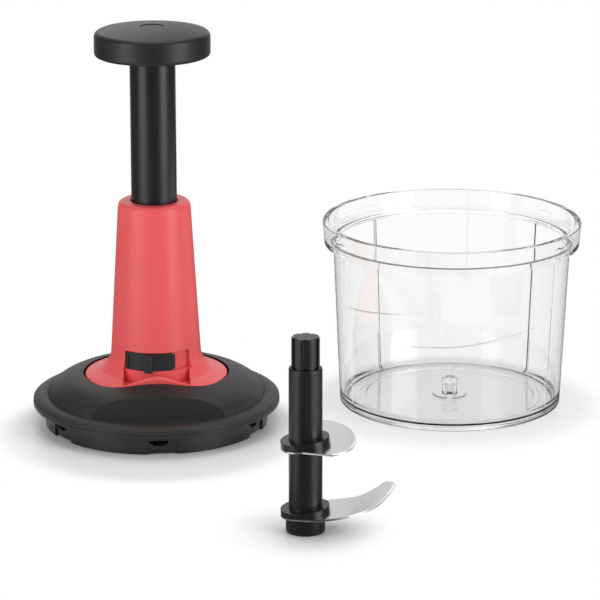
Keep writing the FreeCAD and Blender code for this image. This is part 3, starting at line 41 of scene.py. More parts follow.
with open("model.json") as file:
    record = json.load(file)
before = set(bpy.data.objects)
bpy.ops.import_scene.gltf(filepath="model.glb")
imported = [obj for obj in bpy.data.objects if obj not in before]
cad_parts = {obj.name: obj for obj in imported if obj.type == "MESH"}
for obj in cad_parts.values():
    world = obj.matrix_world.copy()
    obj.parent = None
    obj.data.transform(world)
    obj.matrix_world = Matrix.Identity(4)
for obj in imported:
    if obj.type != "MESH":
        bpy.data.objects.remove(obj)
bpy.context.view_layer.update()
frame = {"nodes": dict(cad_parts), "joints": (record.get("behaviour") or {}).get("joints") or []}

bl_info = {
    "name": "Plunger food chopper",
    "version": (1, 0, 0),
    "blender": (4, 5, 0),
    "location": "3D View > Sidebar > Chopper",
    "description": "Finishes and details of a plunger food chopper on a pale table",
    "category": "Object",
}


# ---- shader maths ----

class Value:
    """A number on a material's nodes. Sums and products with it add Math nodes."""

    def __init__(self, graph, socket):
        self.graph = graph
        self.socket = socket

    def __add__(self, other):
        return self.graph.math("ADD", self, other)

    def __sub__(self, other):
        return self.graph.math("SUBTRACT", self, other)

    def __rsub__(self, other):
        return self.graph.math("SUBTRACT", other, self)

    def __mul__(self, other):
        return self.graph.math("MULTIPLY", self, other)

    __radd__ = __add__
    __rmul__ = __mul__


class Graph:
    """The nodes of one material or of the world."""

    def __init__(self, owner):
        owner.use_nodes = True
        self.tree = owner.node_tree
        self.tree.nodes.clear()

    def link(self, socket, value):
        """Feed a socket with a link or a plain value."""
        if isinstance(value, Value):
            value = value.socket
        if isinstance(value, bpy.types.NodeSocket):
            self.tree.links.new(value, socket)
        else:
            socket.default_value = value

    def node(self, kind, settings=None, **sockets):
        """A node of a type with its settings, then the values or links of its sockets. A socket goes by its
        name, or by an underscore and its number."""
        made = self.tree.nodes.new(kind)
        for name, value in (settings or {}).items():
            setattr(made, name, value)
        for name, value in sockets.items():
            key = int(name[1:]) if name[0] == "_" else name.replace("_", " ")
            self.link(made.inputs[key], value)
        return made

    def math(self, operation, first, second=0.0):
        """A Math node's result."""
        made = self.node("ShaderNodeMath", {"operation": operation}, _0=first, _1=second)
        return Value(self, made.outputs[0])

    def place(self):
        """The position on the piece in its own coordinates."""
        return self.node("ShaderNodeTexCoord").outputs["Object"]

    def stretched(self, scale):
        """The position, scaled along each axis."""
        return self.node("ShaderNodeMapping", Vector=self.place(), Scale=scale).outputs["Vector"]

    def axes(self, vector):
        """A vector's X, Y and Z."""
        made = self.node("ShaderNodeSeparateXYZ", Vector=vector)
        return [Value(self, output) for output in made.outputs]

    def rays(self):
        """Masks of the rays from the camera, through a clear surface and off a glossy one."""
        ray = self.node("ShaderNodeLightPath")
        camera = Value(self, ray.outputs["Is Camera Ray"])
        through = Value(self, ray.outputs["Is Transmission Ray"])
        mirrored = Value(self, ray.outputs["Is Glossy Ray"]) * (1 - through)
        return camera, through, mirrored

    def noise(self, scale, detail=2.0, where=None, roughness=0.5):
        """Soft noise about 0, from -0.5 to 0.5."""
        made = self.node("ShaderNodeTexNoise", Vector=where or self.place(), Scale=scale, Detail=detail,
                         Roughness=roughness)
        return Value(self, made.outputs["Fac"]) - 0.5

    def ramp(self, value, low, high):
        """A value's smooth rise from 0 at one level to 1 at another."""
        made = self.node("ShaderNodeMapRange", {"interpolation_type": "SMOOTHSTEP"}, Value=value,
                         From_Min=low, From_Max=high)
        return Value(self, made.outputs["Result"])

    def tint(self, pattern, colour, darkest, lightest):
        """A colour that a pattern about 0 makes darker and lighter, between two factors."""
        made = self.node("ShaderNodeMix", {"data_type": "RGBA"}, _0=pattern + 0.5,
                         _6=shade(colour, darkest), _7=shade(colour, lightest))
        return made.outputs[2]

    def bump(self, height, distance, edge=0.0):
        """A normal raised by a height in units of a distance, over edges eased by a radius."""
        made = self.node("ShaderNodeBump", Height=height, Distance=distance)
        if edge:
            eased = self.node("ShaderNodeBevel", {"samples": 6}, Radius=edge)
            self.link(made.inputs["Normal"], eased.outputs[0])
        return made.outputs["Normal"]

    def surface(self, shader, **volume):
        """Send a shader to the output, and a volume where there is one."""
        self.node("ShaderNodeOutputMaterial", Surface=shader.outputs[0], **volume)


def shade(colour, factor):
    """A colour made darker or lighter."""
    return tuple(min(1.0, part * factor) for part in colour[:3]) + (1.0,)


# ---- materials ----

PLASTIC_IOR = 1.49
WHITE = (1, 1, 1, 1)
CLEAR_GREY = (0.50, 0.51, 0.49, 1)

# How fine the patterns are, as the noise's scale: flow marks, specks, grain and waves of moulded plastic,
# the ripple of clear plastic, the lines and clouds of steel, and the spots of the table.
FLOW = 38.0
SPECKS = 2600.0
GRAIN = 1500.0
WAVES = 160.0
RIPPLE = 60.0
LINES = 3.0
CLOUDS = 45.0
SPOTS = 700.0

# How much of each pattern goes into the tint, the roughness and the relief.
FLOW_TINT, FLOW_ROUGHNESS = 1.1, 0.10
SPECK_TINT, SPECK_ROUGHNESS = 0.35, 0.05
LINE_TINT, LINE_ROUGHNESS = 0.9, 0.16
CLOUD_TINT, CLOUD_ROUGHNESS = 0.5, 0.08
RIPPLE_ROUGHNESS = 0.006
WAVE_RELIEF = 0.35

# The factors between which the patterns shade a colour.
PLASTIC_TINT = (0.93, 1.07)
CLEAR_TINT = (0.995, 1.005)
STEEL_TINT = (0.86, 1.1)
TABLE_TINT = (0.99, 1.01)

# The depth of the relief: three grains of plastic, and the ripple or the brushed lines.
FINE_GRAIN = 0.000006
SATIN_GRAIN = 0.000008
MATT_GRAIN = 0.000015
FAINT_RELIEF = 0.00001

# The radius by which shading eases the edges of plastic.
SOFT_EDGE = 0.0004
SLIDER_EDGE = 0.00025
FLUTE_EDGE = 0.00015

# The brushing of steel along x, y and z: the lines run along the axis with the small number.
BLADE_BRUSHING = (30.0, 900.0, 900.0)
WIRE_BRUSHING = (900.0, 900.0, 40.0)
BUSH_BRUSHING = (900.0, 900.0, 60.0)


def moulded_plastic(name, colour, roughness, grain, specular=0.5, edge=SOFT_EDGE):
    """Moulded plastic: an even colour with faint flow marks, and a surface grain of a depth in metres."""
    material = bpy.data.materials.new(name)
    graph = Graph(material)
    flow = graph.noise(FLOW, detail=3.0)
    specks = graph.noise(SPECKS)
    tint = graph.tint(flow * FLOW_TINT + specks * SPECK_TINT, colour, *PLASTIC_TINT)
    rough = flow * FLOW_ROUGHNESS + specks * SPECK_ROUGHNESS + roughness
    height = graph.noise(GRAIN, detail=3.0) + graph.noise(WAVES) * WAVE_RELIEF
    graph.surface(graph.node("ShaderNodeBsdfPrincipled", Base_Color=tint, Roughness=rough, IOR=PLASTIC_IOR,
                             Specular_IOR_Level=specular, Normal=graph.bump(height, grain, edge)))
    return material


def clear_plastic(name, colour, roughness, density):
    """Clear moulded plastic with a faint ripple of its mould, a little grey through its thickness."""
    material = bpy.data.materials.new(name)
    graph = Graph(material)
    ripple = graph.noise(RIPPLE)
    tint = graph.tint(ripple, colour, *CLEAR_TINT)
    rough = ripple * RIPPLE_ROUGHNESS + roughness
    shader = graph.node("ShaderNodeBsdfPrincipled", Base_Color=tint, Roughness=rough, IOR=PLASTIC_IOR,
                        Transmission_Weight=1.0, Normal=graph.bump(ripple, FAINT_RELIEF))
    grey = graph.node("ShaderNodeVolumeAbsorption", Color=CLEAR_GREY, Density=density)
    graph.surface(shader, Volume=grey.outputs[0])
    return material


def brushed_steel(name, colour, roughness, brushing):
    """Steel or brass brushed in one direction, with a little cloudiness."""
    material = bpy.data.materials.new(name)
    graph = Graph(material)
    lines = graph.noise(LINES, detail=3.0, where=graph.stretched(brushing), roughness=0.6)
    clouds = graph.noise(CLOUDS)
    tint = graph.tint(lines * LINE_TINT + clouds * CLOUD_TINT, colour, *STEEL_TINT)
    rough = lines * LINE_ROUGHNESS + clouds * CLOUD_ROUGHNESS + roughness
    graph.surface(graph.node("ShaderNodeBsdfPrincipled", Base_Color=tint, Roughness=rough, Metallic=1.0,
                             Normal=graph.bump(lines, FAINT_RELIEF)))
    return material


# ---- settings ----

def colour_setting(name, description, default):
    """A colour of the sidebar."""
    return bpy.props.FloatVectorProperty(name=name, description=description, default=default, size=3,
                                         subtype="COLOR", min=0.0, max=1.0)


def length_setting(name, description, default):
    """A length of the sidebar, in metres."""
    return bpy.props.FloatProperty(name=name, description=description, default=default, unit="LENGTH")


def angle_setting(name, description, degrees):
    """An angle of the sidebar."""
    return bpy.props.FloatProperty(name=name, description=description, default=math.radians(degrees),
                                   subtype="ANGLE")


def lamp_setting(name, description, default):
    """A lamp's power of the sidebar."""
    return bpy.props.FloatProperty(name=name, description=description, default=default, min=0.0,
                                   unit="POWER")


class CHOPPER_PG_finish(bpy.types.PropertyGroup):
    """Colours of the chopper."""
    red: colour_setting("Tower", "Coral red of the tower", (0.80, 0.095, 0.10))
    black: colour_setting("Black plastic", "Black of the plunger and spindle", (0.0085, 0.009, 0.0095))
    lid_black: colour_setting("Lid", "Warm black of the lid's dome", (0.026, 0.0262, 0.0250))
    skirt_black: colour_setting("Skirt", "Black of the lid's skirt", (0.0080, 0.0080, 0.0078))
    knob_black: colour_setting("Knob", "Matt black of the knob", (0.012, 0.012, 0.012))
    clear: colour_setting("Bowl", "Tint of the clear bowl", (0.985, 0.987, 0.982))
    steel: colour_setting("Steel", "Colour of the blades, spring and screws", (0.74, 0.735, 0.725))
    acetal: colour_setting("Inner parts", "Natural acetal of the hidden moving parts", (0.72, 0.72, 0.68))
    brass: colour_setting("Bush", "Colour of the pivot bush", (0.72, 0.50, 0.22))


class CHOPPER_PG_stage(bpy.types.PropertyGroup):
    """Table, lamps and camera."""
    camera_place: bpy.props.FloatVectorProperty(
        name="Camera", description="Where the camera stands", default=(-0.0823, -1.7009, 0.5433), size=3,
        subtype="TRANSLATION", unit="LENGTH")
    camera_dip: angle_setting("Dip", "How far the camera looks down", 15.99)
    camera_pixels: bpy.props.FloatProperty(
        name="Focal length", description="Focal length in pixels of the image", default=3241.7)
    floor: colour_setting("Table", "Colour of the table", (0.93, 0.93, 0.93))
    lamp_turn: angle_setting("Lamp turn", "Side lamps, away from the camera", 55)
    lamp_distance: length_setting("Lamp distance", "Side and back lamps, from the table's middle", 1.05)
    left_lamp: lamp_setting("Left lamp", "Power of the tall soft lamp on the left", 5.6)
    right_lamp: lamp_setting("Right lamp", "Power of the tall soft lamp on the right", 8.4)
    back_lamp: lamp_setting("Back lamps", "Power of the two lamps behind the pieces", 0.8)
    top_lamp: lamp_setting("Top lamp", "Power of the soft lamp over the table", 6.0)
    sky: bpy.props.FloatProperty(name="Room light", description="Even light of the room", default=0.46)
    shade: bpy.props.FloatProperty(
        name="Dark cards", description="Brightness of the cards and of the room's dark sides", default=0.16)


class CHOPPER_PG_bowl(bpy.types.PropertyGroup):
    """Sizes of the clear bowl, from its axis and from the table."""
    height: length_setting("Height", "Top of the rim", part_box("bowl")[1][2])
    turn: angle_setting("Turn", "Turn about its axis", -4)
    rim_radius: length_setting("Rim", "Outer radius of the rim", 0.0700)
    band_radius: length_setting("Band", "Outer radius at the foot of the band", 0.0690)
    band_height: length_setting("Band height", "Band round the mouth", 0.0126)
    mouth_radius: length_setting("Mouth", "Radius of the mouth that takes the lid", 0.0666)
    mouth_depth: length_setting("Mouth depth", "Lid's shelf, below the rim", 0.0096)
    body_radius: length_setting("Body", "Outer radius under the band", 0.0642)
    base_radius: length_setting("Base", "Outer radius on the table", 0.0602)
    wall: length_setting("Wall", "Thickness of the wall", 0.0024)
    floor: length_setting("Floor", "Floor inside, above the table", 0.0032)
    floor_step: length_setting("Floor step", "Step in the floor", 0.0006)
    step_radius: length_setting("Step", "Radius of the step in the floor", 0.0460)
    recess: length_setting("Recess", "Hollow under the floor", 0.0012)
    recess_radius: length_setting("Recess radius", "Radius of the hollow under the floor", 0.0496)
    pad_radius: length_setting("Pad", "Pad round the pin", 0.0092)
    pin_radius: length_setting("Pin", "Radius of the pivot pin", 0.0042)
    pin_top: length_setting("Pin top", "Top of the pivot pin", 0.0120)
    pin_core: length_setting("Pin core", "Radius of the hollow in the pin", 0.0024)
    pin_core_top: length_setting("Pin core top", "Top of the hollow in the pin", 0.0096)
    rib_depth: length_setting("Ribs", "Ribs, proud of the wall", 0.0010)
    rib_gap: length_setting("Rib gap", "Ribs, below the shelf", 0.0022)
    bead_low: length_setting("Beads", "Foot of the snap beads", 0.0950)
    bead_height: length_setting("Bead height", "Height of the snap beads", 0.0014)
    bead_depth: length_setting("Bead depth", "Snap beads, proud of the mouth", 0.0006)
    line_radius: length_setting("Level lines", "Radius of the raised level lines", 0.0004)


# ---- stage ----

# The image's width in pixels, the sensor's in millimetres, and how far the camera sees.
IMAGE_WIDTH = 600
SENSOR_WIDTH = 36.0
CAMERA_REACH = 20.0

# The table, which lies a little under the pieces.
TABLE_MIDDLE = (-0.06, -0.05)
TABLE_RADIUS = 0.70
TABLE_SIDES = 96
TABLE_DROP = 0.0002
TABLE_ROUGHNESS = 0.32
TABLE_SPECULAR = 0.35

# The stretches over which the shadows round the lid, the spindle and the bowl fade to white, from the edge
# of each. Those of the lid and the bowl are shifted towards the camera, and the bowl's is only half as deep.
LID_SHADOW = (0.006, 0.024)
SPINDLE_SHADOW = (0.0, 0.034)
BOWL_SHADOW = (0.0, 0.020)
LID_SHADOW_SHIFT = 0.020
BOWL_SHADOW_SHIFT = 0.008
BOWL_SHADOW_DEPTH = 0.5

# The dark cards on the table, which only glossy pieces mirror. The front card is a fan that widens from its
# tip towards the camera. The back card lies behind a wide V whose tip is in front of the spindle, and it
# leaves the ring round the drive unit free.
CARD_TIP = (-0.10, -0.16)
FRONT_SPREAD = 0.6
BACK_START = -0.24
BACK_SLOPE = 0.35
CARD_RING = (0.03, 0.06)
CARD_SOFTNESS = 0.03

# The room, by how far a ray points back or up, from 0 to 1. Glossy pieces mirror a pale wall at the back.
# Through clear ones a wider wall shows, with a level band all round.
WALL = (0.74, 0.97)
WALL_BRIGHTNESS = 0.8
WIDE_WALL = (0.40, 0.75)
LEVEL_BAND = (0.12, 0.30)

# The lamps at the sides and at the back: their width, height and the height of their middle. The back ones
# stand at a turn from the camera. The one over the table points at a target over its middle, and its place
# is counted from there.
SIDE_LAMP = (0.60, 1.20, 0.40)
BACK_LAMP = (0.40, 0.80, 0.90)
BACK_LAMP_TURN = math.radians(160)
TARGET_HEIGHT = 0.10
TOP_LAMP_PLACE = (0, 0.25, 1.20)
TOP_LAMP_SIZE = (1.2, 1.0)


def light_table(stage):
    """A pale table that keeps soft shadows near the pieces and fades to white away from them. The dark
    cards on it show only in glossy pieces."""
    material = bpy.data.materials.new("table")
    graph = Graph(material)
    place = graph.place()
    margins = []
    for node, shift in (("lid_dome", LID_SHADOW_SHIFT), ("upper_sleeve", 0.0), ("bowl", BOWL_SHADOW_SHIFT)):
        near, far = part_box(node)
        middle = ((near[0] + far[0]) / 2, (near[1] + far[1]) / 2 - shift, 0)
        away = graph.node("ShaderNodeVectorMath", {"operation": "DISTANCE"}, _0=place, _1=middle)
        margins.append(Value(graph, away.outputs["Value"]) - (far[0] - near[0]) / 2)
    lid, spindle, bowl = margins
    fade = graph.math("MINIMUM", graph.ramp(lid, *LID_SHADOW), graph.ramp(spindle, *SPINDLE_SHADOW))
    bowl_fade = graph.ramp(bowl, *BOWL_SHADOW) * BOWL_SHADOW_DEPTH + (1 - BOWL_SHADOW_DEPTH)
    fade = graph.math("MINIMUM", fade, bowl_fade)
    spots = graph.noise(SPOTS, detail=3.0)
    camera, through, mirrored = graph.rays()
    along, across, _ = graph.axes(place)
    sideways = graph.math("ABSOLUTE", along - CARD_TIP[0])
    reach = (CARD_TIP[1] - across) * FRONT_SPREAD
    front = graph.ramp(reach - sideways, -CARD_SOFTNESS, CARD_SOFTNESS)
    back = graph.ramp(across - sideways * BACK_SLOPE - BACK_START, -CARD_SOFTNESS, CARD_SOFTNESS)
    back = back * graph.ramp(lid, *CARD_RING)
    card = graph.math("MAXIMUM", front, back) * mirrored
    tint = graph.tint(spots, stage.floor, *TABLE_TINT)
    matt = graph.node("ShaderNodeBsdfPrincipled", Base_Color=tint, Roughness=TABLE_ROUGHNESS,
                      Specular_IOR_Level=TABLE_SPECULAR)
    white = graph.node("ShaderNodeEmission", Color=WHITE, Strength=1.0)
    dark = graph.node("ShaderNodeEmission", Color=WHITE, Strength=stage.shade)
    lit = graph.node("ShaderNodeMixShader", _0=fade * (camera + through), _1=matt.outputs[0],
                     _2=white.outputs[0])
    graph.surface(graph.node("ShaderNodeMixShader", _0=card, _1=lit.outputs[0], _2=dark.outputs[0]))
    return material


def light_room(stage):
    """A white room behind the pieces with dark cards at its sides and front, which glossy and clear
    surfaces mirror. Seen straight it is white all round, and its even light has a strength of its own."""
    world = bpy.data.worlds.new("room")
    bpy.context.scene.world = world
    graph = Graph(world)
    camera, through, mirrored = graph.rays()
    way = graph.node("ShaderNodeTexCoord").outputs["Generated"]
    _, back, up = graph.axes(way)
    behind = graph.ramp(back, *WALL) * WALL_BRIGHTNESS
    level = 1 - graph.ramp(graph.math("ABSOLUTE", up), *LEVEL_BAND)
    behind_clear = graph.math("MAXIMUM", graph.ramp(back, *WIDE_WALL), level)

    def lit(mask):
        """White in a mask and as dark as the cards outside it."""
        return mask * (1 - stage.shade) + stage.shade

    strength = camera + mirrored * lit(behind) + through * lit(behind_clear)
    strength = strength + (1 - camera - mirrored - through) * stage.sky
    background = graph.node("ShaderNodeBackground", Color=WHITE, Strength=strength)
    graph.node("ShaderNodeOutputWorld", Surface=background.outputs[0])


def soft_lamp(name, place, target, size, power):
    """A rectangular soft lamp at a place, turned to a target, that the camera doesn't see."""
    lamp = bpy.data.lights.new(name, "AREA")
    lamp.shape = "RECTANGLE"
    lamp.size, lamp.size_y = size
    lamp.energy = power
    thing = bpy.data.objects.new(name, lamp)
    thing.visible_camera = False
    thing.location = place
    thing.rotation_euler = (target - place).to_track_quat("-Z", "Y").to_euler()
    bpy.context.scene.collection.objects.link(thing)


def light_pieces(stage):
    """Two tall lamps at the sides, two behind the pieces and one over them."""
    lamps = [
        ("left_lamp", -stage.lamp_turn, stage.left_lamp, SIDE_LAMP),
        ("right_lamp", stage.lamp_turn, stage.right_lamp, SIDE_LAMP),
        ("back_left_lamp", -BACK_LAMP_TURN, stage.back_lamp, BACK_LAMP),
        ("back_right_lamp", BACK_LAMP_TURN, stage.back_lamp, BACK_LAMP),
    ]
    for name, turn, power, (width, height, rise) in lamps:
        target = Vector((*TABLE_MIDDLE, rise))
        away = Vector((math.sin(turn), -math.cos(turn), 0)) * stage.lamp_distance
        soft_lamp(name, target + away, target, (width, height), power)
    target = Vector((*TABLE_MIDDLE, TARGET_HEIGHT))
    soft_lamp("top_lamp", target + Vector(TOP_LAMP_PLACE), target, TOP_LAMP_SIZE, stage.top_lamp)


def stand_camera(stage):
    """A camera that looks straight along y, and down by its dip."""
    camera = bpy.data.cameras.new("camera")
    camera.sensor_width = SENSOR_WIDTH
    camera.lens = stage.camera_pixels * SENSOR_WIDTH / IMAGE_WIDTH
    camera.clip_end = CAMERA_REACH
    thing = bpy.data.objects.new("camera", camera)
    thing.location = stage.camera_place
    thing.rotation_euler = Euler((math.pi / 2 - stage.camera_dip, 0, 0))
    bpy.context.scene.collection.objects.link(thing)
    bpy.context.scene.camera = thing
    bpy.context.scene.view_settings.view_transform = "Standard"


class CHOPPER_OT_stage(bpy.types.Operator):
    """Set up the table, the room, the lamps and the camera"""
    bl_idname = "chopper.stage"
    bl_label = "Stage"

    def execute(self, context):
        stage = context.scene.chopper_stage
        mesh = bpy.data.meshes.new("table")
        made = bmesh.new()
        bmesh.ops.create_circle(made, cap_ends=True, radius=TABLE_RADIUS, segments=TABLE_SIDES)
        bmesh.ops.translate(made, vec=(*TABLE_MIDDLE, -TABLE_DROP), verts=made.verts)
        made.to_mesh(mesh)
        made.free()
        table = bpy.data.objects.new("table", mesh)
        context.scene.collection.objects.link(table)
        mesh.materials.append(light_table(stage))
        light_room(stage)
        light_pieces(stage)
        stand_camera(stage)
        return {"FINISHED"}


# ---- bowl ----

# Faces round the bowl, half the turn of one of them, and the turns of the ribs and the snap beads from the
# bowl's front, in degrees. A rib is one face wide, and a bead lies over each rib.
ROUND_STEPS = 360
HALF_FACE = 180 / ROUND_STEPS
RIB_TURNS = (61, 131, -61, -135)
BEAD_SPAN = 19

# Where the ribs start above the floor, how near a point counts as level with a bead, how near points are
# merged, and the angle from which an edge is shaded sharp.
RIB_START = 0.0002
LEVEL_TOLERANCE = 0.00001
MERGE_DISTANCE = 0.000001
SHARP_ANGLE = math.radians(35)

# The roundings of the bowl's section.
PAD_ROUND = 0.0002
STEP_ROUND = 0.0003
EDGE_ROUND = 0.0004
CORNER_ROUND = 0.0005
RIM_ROUND = 0.0006
FOOT_ROUND = 0.0010
FLOOR_ROUND = 0.0040
ROUND_PARTS = 5

# The level lines on the outside: the azimuth from the bowl's front in degrees, and the height. Their ends
# are thinner by a share.
LEVEL_LINES = {
    "left_level_line": [(-61, 0.0597), (-51.6, 0.0604), (-35.7, 0.0622), (-24.2, 0.0637), (-10.7, 0.0660)],
    "right_level_line": [(-22.2, 0.0465), (-6.9, 0.0469), (4.2, 0.0474), (17.5, 0.0492), (35.0, 0.0517),
                         (47.3, 0.0540)],
}
LINE_END = 0.3


def section_chain(made, corners):
    """A chain of edges in the XZ plane through corners of radius, height and rounding."""
    verts = [made.verts.new((radius, 0, height)) for radius, height, _ in corners]
    for first, second in zip(verts, verts[1:]):
        made.edges.new((first, second))
    for vert, (_, _, rounding) in zip(verts, corners):
        if rounding:
            bmesh.ops.bevel(made, geom=[vert], offset=rounding, offset_type="OFFSET", segments=ROUND_PARTS,
                            profile=0.5, affect="VERTICES", material=-1)


def turned(made):
    """Spin the chain into a closed round shape."""
    bmesh.ops.spin(made, geom=made.verts[:] + made.edges[:], cent=(0, 0, 0), axis=(0, 0, 1),
                   angle=math.tau, steps=ROUND_STEPS, use_merge=True)
    bmesh.ops.remove_doubles(made, verts=made.verts, dist=MERGE_DISTANCE)
    bmesh.ops.recalc_face_normals(made, faces=made.faces)


def azimuth_of(point):
    """A point's azimuth in degrees, from the front and round to the right."""
    return math.degrees(math.atan2(point.x, -point.y))


def raise_rib(made, azimuth, low, high, depth):
    """Raise a narrow upright strip of the inner wall by a depth."""
    strip = []
    for face in made.faces:
        middle = face.calc_center_median()
        inward = face.normal.x * middle.x + face.normal.y * middle.y < 0
        if inward and low < middle.z < high and abs(azimuth_of(middle) - azimuth) < HALF_FACE:
            strip.append(face)
    lifted = bmesh.ops.extrude_face_region(made, geom=strip)["geom"]
    made.normal_update()
    for item in lifted:
        if isinstance(item, bmesh.types.BMVert):
            item.co += item.normal * depth


def raise_bead(made, azimuth, height, depth):
    """Draw the mouth's wall inward at a height, most in the bead's middle."""
    for vert in made.verts:
        along = abs(azimuth_of(vert.co) - azimuth) / BEAD_SPAN
        inward = vert.co.x * vert.normal.x + vert.co.y * vert.normal.y < 0
        if inward and abs(vert.co.z - height) < LEVEL_TOLERANCE and along < 0.5:
            vert.co += vert.normal * depth * math.cos(math.pi * along) ** 2


def piece_from(made, name):
    """A new object of a bmesh, shaded smooth up to a sharp angle."""
    mesh = bpy.data.meshes.new(name)
    made.to_mesh(mesh)
    made.free()
    mesh.shade_smooth()
    mesh.set_sharp_from_angle(angle=SHARP_ANGLE)
    thing = bpy.data.objects.new(name, mesh)
    bpy.context.scene.collection.objects.link(thing)
    return thing


def wall_radius(bowl, height):
    """The inner radius of the bowl's wall at a height."""
    slope = (bowl.body_radius - bowl.base_radius) / (bowl.height - bowl.band_height)
    return bowl.base_radius + slope * height - bowl.wall


def bowl_mesh(bowl):
    """The bowl as one closed shape, with its pin, ribs and snap beads. Weighted normals keep the long flat
    faces clear, because leaning ones would mirror inside the plastic."""
    band = bowl.height - bowl.band_height
    shelf = bowl.height - bowl.mouth_depth
    low_floor = bowl.floor - bowl.floor_step
    rib_top = shelf - bowl.rib_gap
    bead_middle = bowl.bead_low + bowl.bead_height / 2
    made = bmesh.new()
    section_chain(made, [
        (0, bowl.pin_core_top, 0),
        (bowl.pin_core, bowl.pin_core_top, EDGE_ROUND),
        (bowl.pin_core, bowl.recess, EDGE_ROUND),
        (bowl.recess_radius, bowl.recess, CORNER_ROUND),
        (bowl.recess_radius, 0, EDGE_ROUND),
        (bowl.base_radius, 0, FOOT_ROUND),
        (bowl.body_radius, band, CORNER_ROUND),
        (bowl.band_radius, band, RIM_ROUND),
        (bowl.rim_radius, bowl.height, RIM_ROUND),
        (bowl.mouth_radius, bowl.height, RIM_ROUND),
        (bowl.mouth_radius, bead_middle + bowl.bead_height / 2, 0),
        (bowl.mouth_radius, bead_middle, 0),
        (bowl.mouth_radius, bead_middle - bowl.bead_height / 2, 0),
        (bowl.mouth_radius, shelf, EDGE_ROUND),
        (wall_radius(bowl, shelf), shelf, CORNER_ROUND),
        (wall_radius(bowl, rib_top), rib_top, 0),
        (wall_radius(bowl, bowl.floor), bowl.floor, FLOOR_ROUND),
        (bowl.step_radius, bowl.floor, STEP_ROUND),
        (bowl.step_radius, low_floor, STEP_ROUND),
        (bowl.pad_radius, low_floor, PAD_ROUND),
        (bowl.pad_radius, bowl.floor, PAD_ROUND),
        (bowl.pin_radius, bowl.floor, EDGE_ROUND),
        (bowl.pin_radius, bowl.pin_top, RIM_ROUND),
        (0, bowl.pin_top, 0),
    ])
    turned(made)
    for azimuth in RIB_TURNS:
        raise_rib(made, azimuth + HALF_FACE, bowl.floor + RIB_START, rib_top, bowl.rib_depth)
        raise_bead(made, azimuth, bead_middle, bowl.bead_depth)
    bmesh.ops.rotate(made, cent=(0, 0, 0), matrix=Matrix.Rotation(bowl.turn, 3, "Z"), verts=made.verts)
    vessel = piece_from(made, "clear_bowl")
    even = vessel.modifiers.new("even_shading", "WEIGHTED_NORMAL")
    even.keep_sharp = True
    return vessel


def level_line(name, points, bowl):
    """A fine raised line along points of azimuth and height on the outside of the bowl."""
    curve = bpy.data.curves.new(name, "CURVE")
    curve.dimensions = "3D"
    curve.bevel_depth = bowl.line_radius
    curve.bevel_resolution = 3
    curve.use_fill_caps = True
    spline = curve.splines.new("NURBS")
    spline.points.add(len(points) - 1)
    for point, (azimuth, height) in zip(spline.points, points):
        turn = math.radians(azimuth) + bowl.turn
        radius = wall_radius(bowl, height) + bowl.wall
        point.co = (radius * math.sin(turn), -radius * math.cos(turn), height, 1)
    for end in (0, -1):
        spline.points[end].radius = LINE_END
    spline.order_u = 3
    spline.use_endpoint_u = True
    spline.resolution_u = 16
    drawn = bpy.data.objects.new(name, curve)
    bpy.context.scene.collection.objects.link(drawn)
    mesh = bpy.data.meshes.new_from_object(drawn.evaluated_get(bpy.context.evaluated_depsgraph_get()))
    bpy.data.objects.remove(drawn)
    mesh.name = name
    mesh.shade_smooth()
    line = bpy.data.objects.new(name, mesh)
    bpy.context.scene.collection.objects.link(line)
    return line


class CHOPPER_OT_bowl(bpy.types.Operator):
    """Make the clear bowl with its ribs, beads, pin and level lines"""
    bl_idname = "chopper.bowl"
    bl_label = "Clear bowl"

    def execute(self, context):
        bowl = context.scene.chopper_bowl
        look = context.scene.chopper_finish
        clear = clear_plastic("clear_plastic", look.clear, roughness=0.012, density=10.0)
        vessel = bowl_mesh(bowl)
        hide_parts("bowl")
        lines = [level_line(name, points, bowl) for name, points in LEVEL_LINES.items()]
        for piece in [vessel] + lines:
            piece.data.materials.append(clear)
            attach(piece, "bowl")
        return {"FINISHED"}


# ---- return spring ----

# The plunger's travel, and the spring's height when the plunger is down as a share of its height at rest.
PRESS = next(joint for joint in frame["joints"] if joint["name"] == "plunger_press")
STROKE = PRESS["range_m"][1]
SPRING_LOW, SPRING_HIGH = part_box("return_spring")
SPRING_KEEP = 1 - STROKE / (SPRING_HIGH[2] - SPRING_LOW[2])


class CHOPPER_OT_spring(bpy.types.Operator):
    """Make the return spring, carried by the drive housing"""
    bl_idname = "chopper.spring"
    bl_label = "Return spring"

    def execute(self, context):
        look = context.scene.chopper_finish
        made = bmesh.new()
        made.from_mesh(frame["nodes"]["return_spring"].data)
        bmesh.ops.remove_doubles(made, verts=made.verts, dist=MERGE_DISTANCE)
        spring = piece_from(made, "coiled_spring")
        steel = brushed_steel("spring_steel", look.steel, roughness=0.30, brushing=WIRE_BRUSHING)
        spring.data.materials.append(steel)
        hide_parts("return_spring")
        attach(spring, "drive_housing")
        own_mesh(spring)
        return {"FINISHED"}


# ---- finishes of the carried-over nodes ----

# The thumb slider's black is made lighter than the rest. This is painted light, standing in for the
# highlights that its pads and fin catch.
SLIDER_PAINTED_LIGHT = 2.3


def finish(material, *names):
    """Give CAD nodes a finish."""
    for name in names:
        mesh = frame["nodes"][name].data
        mesh.materials.clear()
        mesh.materials.append(material)


